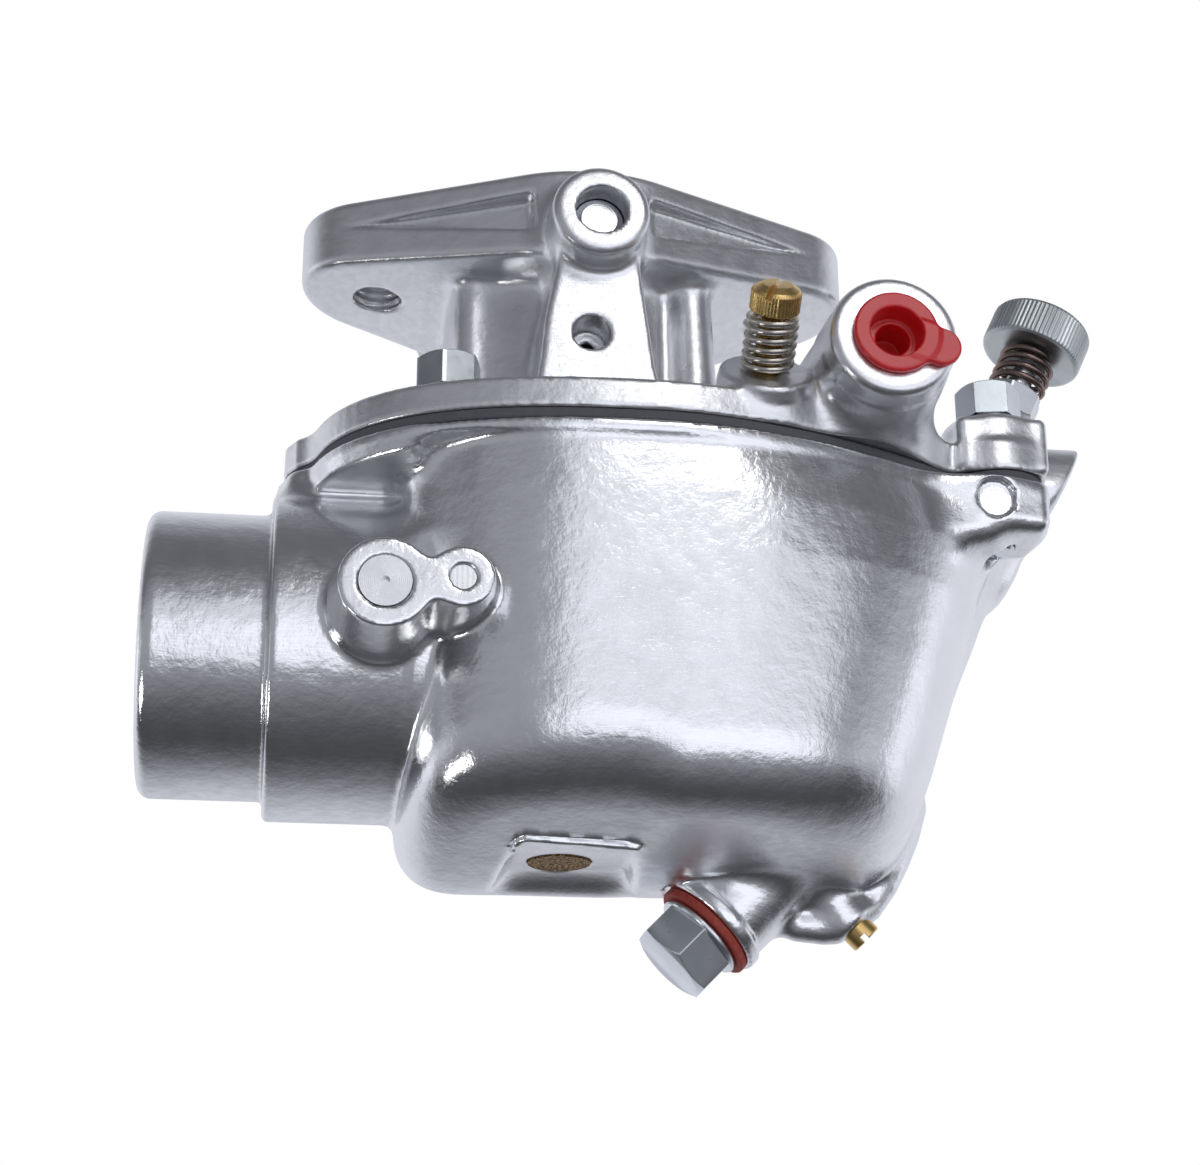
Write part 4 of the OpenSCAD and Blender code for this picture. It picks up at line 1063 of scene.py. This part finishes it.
def lathe(name, profile, matrix=None, steps=96, section=None, sharp=32):
    """Turns (r, z) points; section(r, z, angle) can reshape them."""
    points = []
    for r, z in profile:
        for i in range(steps):
            a = 2 * math.pi * i / steps
            radius, height = section(r, z, a) if section else (r, z)
            points.append((radius * math.cos(a), radius * math.sin(a), height))
    faces = ring_faces(len(profile), steps)
    for j in (0, len(profile) - 1):
        if profile[j][0] > 1e-6 and profile[0] != profile[-1]:
            faces.append(end_face(j, steps))
    return place(name, points, faces, matrix, sharp)


def hexagon(flats, z0, z1, both=False, turn=0.0):
    """Section of a hexagon chamfered at the top, or at both ends."""

    def section(r, z, a):
        if r != HEX:
            return r, z
        a += turn
        radius = flats / 2 / math.cos((a + math.pi / 6) % (math.pi / 3) - math.pi / 6)
        drop = max(0, (radius - flats / 2 * 0.97) * 0.55)
        if z > (z0 + z1) / 2:
            return radius, z1 - drop
        return radius, z0 + drop if both else z0

    return section


def knurl(radius, count, depth, z0, z1):
    def section(r, z, a):
        if abs(r - radius) < 1e-6 and z0 <= z <= z1:
            wave = abs(((a * count / (2 * math.pi)) % 1.0) * 2 - 1)
            return radius - depth * wave, z
        return r, z

    return section


def thread_profile(radius, z0, z1, pitch, depth):
    """Profile points of a cut thread, as rings."""
    points = []
    count = int((z1 - z0) / pitch)
    for i in range(count):
        z = z0 + i * pitch
        points += [(radius - depth, z), (radius - depth, z + pitch * 0.15),
                   (radius, z + pitch * 0.5), (radius, z + pitch * 0.62)]
    return points + [(radius - depth, z0 + count * pitch)]


def coil(name, matrix, radius, wire, z0, z1, turns, dead, per_turn=40, ring=12):
    """Helical spring with closed, tapered ends."""
    count = int(turns * per_turn)
    lift = wire * 1.03
    middle = (z1 - z0) - 2 * lift * dead
    centres = []
    for i in range(count + 1):
        u = turns * i / count
        a = 2 * math.pi * u
        q = min(max((u - dead) / (turns - 2 * dead), 0), 1)
        closed = min(u, dead) + max(u - (turns - dead), 0)
        height = z0 + q * middle + closed * lift
        centres.append(Vector((radius * math.cos(a), radius * math.sin(a), height)))
    points = []
    for i, centre in enumerate(centres):
        tangent = (centres[min(i + 1, count)] - centres[max(i - 1, 0)]).normalized()
        outward = Vector((centre.x, centre.y, 0)).normalized()
        side = tangent.cross(outward).normalized()
        taper = min(1.0, 0.55 + 0.45 * min(i, count - i) / 6)
        for j in range(ring):
            b = 2 * math.pi * j / ring
            turned_out = outward * math.cos(b) + side * math.sin(b)
            points.append(tuple(centre + turned_out * wire / 2 * taper))
    faces = ring_faces(count + 1, ring) + [end_face(0, ring), end_face(count, ring)]
    return place(name, points, faces, matrix, 60)


def build_gasket():
    sheet = extrude(lambda x, y: outline(x, y, 0.2), -49.4, -47.62, 0.35)
    opening = polygon(egg(-18.5, 10, 61, 33.2))
    lands = [circle(0, 0, 22), circle(*PASSAGE, 4), *(circle(x, y, r) for x, y, _, r in BOLTS)]
    holes = [circle(0, 0, 16.4), circle(67, 5, 5.5), circle(*PASSAGE, PASSAGE_R),
             *(circle(x, y, 3) for x, y, _, _ in BOLTS)]

    def distance(x, y, z):
        flat_x, flat_y = x[:, :, 0], y[:, :, 0]
        gap = opening(flat_x, flat_y)
        for land in lands:
            gap = np.maximum(gap, -land(flat_x, flat_y))
        for hole in holes:
            gap = np.minimum(gap, hole(flat_x, flat_y))
        return np.maximum(sheet(x, y, z), -gap[:, :, None])

    field = Field((-52, -42, -50.6), (84, 42, -45.4), 0.34)
    field.add((distance, None))
    piece(field.to_object("bowl_gasket_sheet"), "bowl_gasket", "gasket")


def build_bolt(i, x, y, seat, turn):
    """Cover bolt with a drilled hexagon head."""
    z = seat + 1.5
    low = -63 if x < 0 else -59.2
    profile = [
        (0, low), (2.2, low), (2.7, low + 0.6),
        *thread_profile(2.74, low + 0.8, z - 3.0, pitch=1.0, depth=0.42),
        (2.74, z - 2.0), (2.74, z), (4.5, z), (HEX, z), (HEX, z + 6), (4.45, z + 6),
        (3.3, z + 6), (3.15, z + 5.85), (3.0, z + 4.9), (0, z + 4.8)]
    ob = lathe("cover_bolt_%d" % i, profile, Matrix.Translation((x, y, 0)),
               section=hexagon(9.4, z, z + 6, turn=turn), sharp=24)
    piece(ob, "cover_bolts", "bolt")


def build_lock_washer(i, x, y, seat):
    """Split ring, its two ends slightly offset in height."""
    section = [(2.85, 0.05), (4.85, 0.05), (4.95, 0.2), (4.95, 1.3), (4.85, 1.45), (2.85, 1.45)]
    steps = 72
    points = []
    for k in range(steps + 1):
        a = math.radians(150 + 40 * i) + math.radians(354) * k / steps
        rise = 0.12 * (k / steps - 0.5) * 0.2
        points += [(r * math.cos(a), r * math.sin(a), z + rise) for r, z in section]
    faces = ring_faces(steps + 1, 6) + [end_face(0, 6), end_face(steps, 6)]
    ob = place("lock_washer_%d" % i, points, faces, Matrix.Translation((x, y, seat)), 40)
    piece(ob, "cover_lock_washers", "washer")


def cut_slot(ob, matrix, floor_z, angle):
    """Cuts a screwdriver slot down to floor_z, then moves ob by the matrix."""
    cutter = place(
        "slot_cutter",
        [(x, y, z) for x in (-6, 6) for y in (-0.5, 0.5) for z in (floor_z, floor_z + 3.3)],
        [(0, 1, 3, 2), (4, 6, 7, 5), (0, 4, 5, 1), (2, 3, 7, 6), (0, 2, 6, 4), (1, 5, 7, 3)])
    cutter.rotation_euler = (0, 0, angle)
    bpy.context.view_layer.update()
    boolean = ob.modifiers.new("slot", "BOOLEAN")
    boolean.operation = "DIFFERENCE"
    boolean.object = cutter
    boolean.solver = "EXACT"
    depsgraph = bpy.context.evaluated_depsgraph_get()
    mesh = bpy.data.meshes.new_from_object(ob.evaluated_get(depsgraph))
    ob.modifiers.clear()
    ob.data = mesh
    for step in (Matrix.Scale(1 / MM, 4), matrix, Matrix.Scale(MM, 4)):
        mesh.transform(step)
    mesh.polygons.foreach_set("use_smooth", np.ones(len(mesh.polygons), bool))
    mesh.set_sharp_from_angle(angle=math.radians(22))
    bpy.data.objects.remove(cutter)


def build_idle_needle():
    """Cone, thread and knurled head with a slot."""
    profile = [
        (0, -10.9), (0.45, -10.9), (1.7, -8.95), (2.1, -8.9),
        *thread_profile(2.38, -8.6, 8.6, pitch=0.9, depth=0.36),
        (2.0, 9.0), (2.0, 9.9), (3.6, 9.9), (3.85, 10.05), (4.0, 10.2), (4.0, 13.2),
        (3.75, 13.5), (3.6, 13.75), (2.4, 14.45), (0, 14.5)]
    ob = lathe("idle_needle_turned", profile, None, 288, knurl(4.0, 48, 0.16, 10.19, 13.21), 20)
    cut_slot(ob, IDLE, 12.7, math.radians(62))
    piece(ob, "idle_needle", "brass")


def build_main_knob():
    profile = [
        (2.34, 103.6), (3.5, 103.6), (3.7, 103.8), (3.7, 106.3), (8.2, 106.3), (8.75, 106.5),
        (9.0, 106.9), (9.0, 112.6), (8.7, 113.05), (8.2, 113.3), (5.6, 113.3), (5.4, 113.15),
        (5.0, 113.1), (0, 113.1)]
    ob = lathe("main_needle_knob_turned", profile, MAIN, 384,
               knurl(9.0, 72, 0.22, 106.89, 112.61), 14)
    piece(ob, "main_needle_knob", "knob")


def build_packing_nut():
    profile = [
        (2.36, 86), (4.1, 86), (4.3, 86.3),
        *thread_profile(4.33, 86.5, 92.4, pitch=1.0, depth=0.4),
        (4.0, 92.6), (4.0, 93), (4.6, 93), (HEX, 93), (HEX, 98.2), (4.6, 98.2), (2.9, 98.2),
        (2.36, 97.9), (2.36, 86)]
    ob = lathe("packing_nut_turned", profile, MAIN,
               section=hexagon(9.6, 93, 98.2, both=True, turn=0.3), sharp=24)
    piece(ob, "packing_nut", "zinc_steel")


def build_drain():
    """Drain plug with collar and hexagon, and its washer."""
    profile = [
        (0, -9), (4.1, -9), (4.7, -8.4),
        *thread_profile(4.85, -8.2, -0.6, pitch=1.25, depth=0.5),
        (4.5, 0), (4.5, 1.38), (7.1, 1.38), (7.35, 1.55), (7.4, 1.8), (7.4, 2.2), (7.2, 2.45),
        (6.9, 2.55), (HEX, 2.56), (HEX, 8.9), (6.1, 8.9), (5.9, 8.98), (0, 8.98)]
    ob = lathe("drain_plug_turned", profile, DRAIN,
               section=hexagon(12.7, 2.56, 8.9, turn=0.52), sharp=24)
    piece(ob, "drain_plug", "plug")
    profile = [(4.95, 0.05), (8.3, 0.05), (8.48, 0.2), (8.5, 0.6), (8.48, 1.12), (8.3, 1.32),
               (4.95, 1.32), (4.95, 0.05)]
    piece(lathe("drain_washer_ring", profile, DRAIN, 128), "drain_washer", "red_fibre")


def build_passage_plug():
    profile = [
        (0, -7), (1.7, -7), *thread_profile(1.98, -6.8, -0.2, pitch=0.7, depth=0.28),
        (2.0, 0.05), (2.5, 0.05), (2.6, 0.2), (2.6, 3.0), (2.4, 3.2), (0, 3.22)]
    ob = lathe("passage_plug_turned", profile, None, 72)
    cut_slot(ob, PLUG, 2.1, math.radians(20))
    piece(ob, "passage_plug", "brass")


# name, frame node, axis frame, coil radius, wire, start z, end z, turns, closed turns per end,
# body at the start, body at the end, material
SPRINGS = [
    ("idle_needle_coil", "idle_needle_spring", IDLE, 3.72, 1.15, 0.62, 9.28, 6.0, 0.9,
     "castings", "idle_axial", "spring_steel"),
    ("main_needle_coil", "main_needle_spring", MAIN, 4.55, 1.2, 98.85, 105.65, 3.9, 0.7,
     "castings", "main_axial", "bronzed_steel"),
    ("stop_screw_coil", "throttle_stop_spring", Matrix.Translation((-13, 31.8, 0)),
     2.5, 0.7, -8.6, -5.4, 3.2, 0.6, "throttle", "stop_screw_axial", "spring_steel"),
    ("relief_coil", "choke_relief_spring", Matrix.Translation((CHOKE_X + 11.5, 0, HORN_Z)),
     1.5, 0.4, -6.5, -0.95, 5.2, 0.8, "choke", "choke_relief", "spring_steel"),
]


def build_springs():
    for name, node, axis, radius, wire, z0, z1, turns, dead, body0, body1, key in SPRINGS:
        ob = coil(name, axis, radius, wire, z0, z1, turns, dead)
        assign(ob, key)
        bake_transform(ob)
        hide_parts(node)


def build_inlet_cap():
    """Moulded disc with a pull tab and a stepped hole."""
    disc = extrude(circle(*INLET, 6.75), -43.4, -42.02, 0.38, "y")
    stem = rod_y(*INLET, -42.6, -33.2, 5.5, 5.3, 0.3)[0]
    wide_hole = rod_y(*INLET, -45, -39.4, 4.3, 4.05, 0.3)[0]
    deep_hole = rod_y(45.3, -34.6, -45, -33.8, 2.75, 2.6, 0.3)[0]
    cosine, sine = math.cos(math.radians(17)), math.sin(math.radians(17))

    def distance(x, y, z):
        dx, dz = x - INLET[0], z - INLET[1]
        along, across = dx * cosine - dz * sine, dx * sine + dz * cosine
        tab = np.sqrt((along - np.clip(along, 0, 7.4)) ** 2 + across ** 2) - 3.1
        tab = rounded(tab, np.abs(y + 42.72) - 0.68, 0.3)
        d = soft_min(disc(x, y, z), tab, 0.8)
        d = soft_min(d, stem(x, y, z), 0.2)
        d = soft_max(d, -wide_hole(x, y, z), 0.3)
        return soft_max(d, -deep_hole(x, y, z), 0.3)

    field = Field((36, -44.2, -44), (57, -31, -26), 0.17)
    field.add((distance, None))
    piece(field.to_object("inlet_cap_moulded"), "inlet_cap", "red_plastic")


build_gasket()
HEAD_TURNS = (0.25, 0.5, 0.72, 0.1)
for index, (bolt_x, bolt_y, bolt_seat, _) in enumerate(BOLTS):
    build_bolt(index, bolt_x, bolt_y, bolt_seat, HEAD_TURNS[index])
    build_lock_washer(index, bolt_x, bolt_y, bolt_seat)
build_idle_needle()
build_main_knob()
build_packing_nut()
build_drain()
build_passage_plug()
build_springs()
build_inlet_cap()


# ---------------------------------------------------------------- camera, lights, world, floor
def build_camera():
    """Low camera; returns its right, up and forward directions."""
    azimuth, elevation, roll = (math.radians(v) for v in (-7.99126, -20.76277, -0.33852))
    # the model's origin along the camera's right, up and forward, in mm
    aside, above, ahead = -4.25136, 58.4978, 407.94094
    right = Vector((math.cos(azimuth), math.sin(azimuth), 0))
    forward = -Vector((math.sin(azimuth) * math.cos(elevation),
                       -math.cos(azimuth) * math.cos(elevation), math.sin(elevation)))
    up = right.cross(forward)
    location = -(right * aside + up * above + forward * ahead)
    camera = bpy.data.objects.new("camera", bpy.data.cameras.new("camera"))
    bpy.context.scene.collection.objects.link(camera)
    turn = Matrix((right, up, -forward)).transposed() @ Matrix.Rotation(roll, 3, "Z")
    camera.matrix_world = Matrix.Translation(location * MM) @ turn.to_4x4()
    camera.data.sensor_width = 36
    camera.data.lens = 69.9474
    camera.data.clip_start = 0.01
    bpy.context.scene.camera = camera
    return right, up, forward


RIGHT, UP, FORWARD = build_camera()


def soft_box(name, toward, distance, size, power):
    """Area light; toward is along the camera's right, up and back."""
    direction = (RIGHT * toward[0] + UP * toward[1] - FORWARD * toward[2]).normalized()
    light = bpy.data.lights.new(name, "AREA")
    light.shape = "RECTANGLE"
    light.size, light.size_y = size
    light.energy = power
    ob = bpy.data.objects.new(name, light)
    bpy.context.scene.collection.objects.link(ob)
    ob.location = Vector((0.005, 0, -0.065)) + direction * distance
    ob.rotation_euler = (-direction).to_track_quat("-Z", "Y").to_euler()
    ob.visible_camera = False


soft_box("key", (0.35, 0.75, 0.55), distance=0.75, size=(0.30, 0.22), power=0.5)
soft_box("left_strip", (-0.8, -0.35, 0.55), distance=0.7, size=(0.26, 0.16), power=0.7)

# grey of the surroundings by angle in degrees from behind the camera (0) over the top (90)
SKY = [
    (-180, 0.80), (-155, 0.80), (-128, 0.72), (-108, 0.50), (-94, 0.19), (-70, 0.065),
    (-50, 0.085), (-34, 0.14), (-17, 0.25), (0, 0.34), (38, 0.36), (54, 0.26), (70, 0.17),
    (82, 0.145), (106, 0.16), (124, 0.30), (140, 0.56), (160, 0.80), (180, 0.80)]


def build_world():
    """White to the camera, a graded studio to everything else."""
    world = bpy.data.worlds.new("studio")
    bpy.context.scene.world = world
    world.use_nodes = True
    graph = Graph(world.node_tree)
    output = graph.node("OutputWorld")
    plain = graph.node("Background", {0: (1, 1, 1)})
    studio = graph.node("Background")
    choice = graph.node("MixShader")
    path = graph.node("LightPath")
    ray = graph.node("TexCoord").outputs["Generated"]

    def along(axis):
        node = graph.node("VectorMath", {0: ray, 1: tuple(axis)}, operation="DOT_PRODUCT")
        return node.outputs["Value"]

    def step(value, start, end):
        """Smooth 0 to 1 between start and end."""
        node = graph.node("MapRange", {0: value, 1: start, 2: end},
                          interpolation_type="SMOOTHSTEP")
        return node.outputs[0]

    right, up, back = along(RIGHT), along(UP), along(-FORWARD)
    angle = graph.mul(graph.math("ARCTAN2", up, back), 180 / math.pi)
    turn = graph.add(graph.math("DIVIDE", angle, 360.0), 0.5)
    sky = graph.ramp(turn, *(((degrees + 180) / 360, grey) for degrees, grey in SKY))
    # bright panel behind the camera, dimmer in its upper part
    level = graph.sub(1.0, graph.mul(step(angle, 27, 36), 0.44))
    panel = graph.mul(graph.mul(step(angle, -7, 4), level), graph.sub(1.0, step(angle, 44, 54)))
    width = graph.mul(step(right, -0.03, 0.06), graph.sub(1.0, step(right, 0.76, 0.88)))
    panel = graph.mul(panel, width)
    # glow at the far left and right
    sides = graph.mul(step(graph.math("ABSOLUTE", right), 0.90, 0.985), 0.30)
    value = graph.add(graph.add(sky, sides), graph.mul(panel, 0.85))
    cool = graph.node("VectorMath", {0: (0.965, 0.975, 1.07), 3: value}, operation="SCALE")
    graph.feed(studio.inputs[0], cool.outputs[0])
    graph.fill(choice, {0: path.outputs["Is Camera Ray"], 1: studio.outputs[0],
                        2: plain.outputs[0]})
    graph.feed(output.inputs[0], choice.outputs[0])


def build_floor():
    """Pale floor seen from above only, so the low camera looks through it."""
    bm = bmesh.new()
    bmesh.ops.create_grid(bm, x_segments=24, y_segments=24, size=1.2)
    mesh = bpy.data.meshes.new("floor")
    bm.to_mesh(mesh)
    bm.free()
    floor = bpy.data.objects.new("floor", mesh)
    bpy.context.scene.collection.objects.link(floor)
    floor.location = (0, 0, CAD_BOX[0][2] - 0.0005)
    floor.visible_glossy = False
    surface = Surface("floor_pale")
    geometry = surface.node("NewGeometry")
    clear = surface.node("BsdfTransparent")
    choice = surface.node("MixShader")
    mottle = surface.noise(surface.coords(), scale=60, detail=3)
    colour = surface.mix(mottle, (0.80, 0.80, 0.80), (0.86, 0.86, 0.855))
    surface.fill(surface.shader, {"Base Color": colour, "Roughness": 0.75})
    surface.fill(choice, {0: geometry.outputs["Backfacing"], 1: surface.shader.outputs[0],
                          2: clear.outputs[0]})
    surface.feed(surface.output.inputs[0], choice.outputs[0])
    mesh.materials.append(surface.material)


build_world()
build_floor()
bpy.context.scene.view_settings.view_transform = "Standard"
bpy.context.scene.view_settings.look = "None"
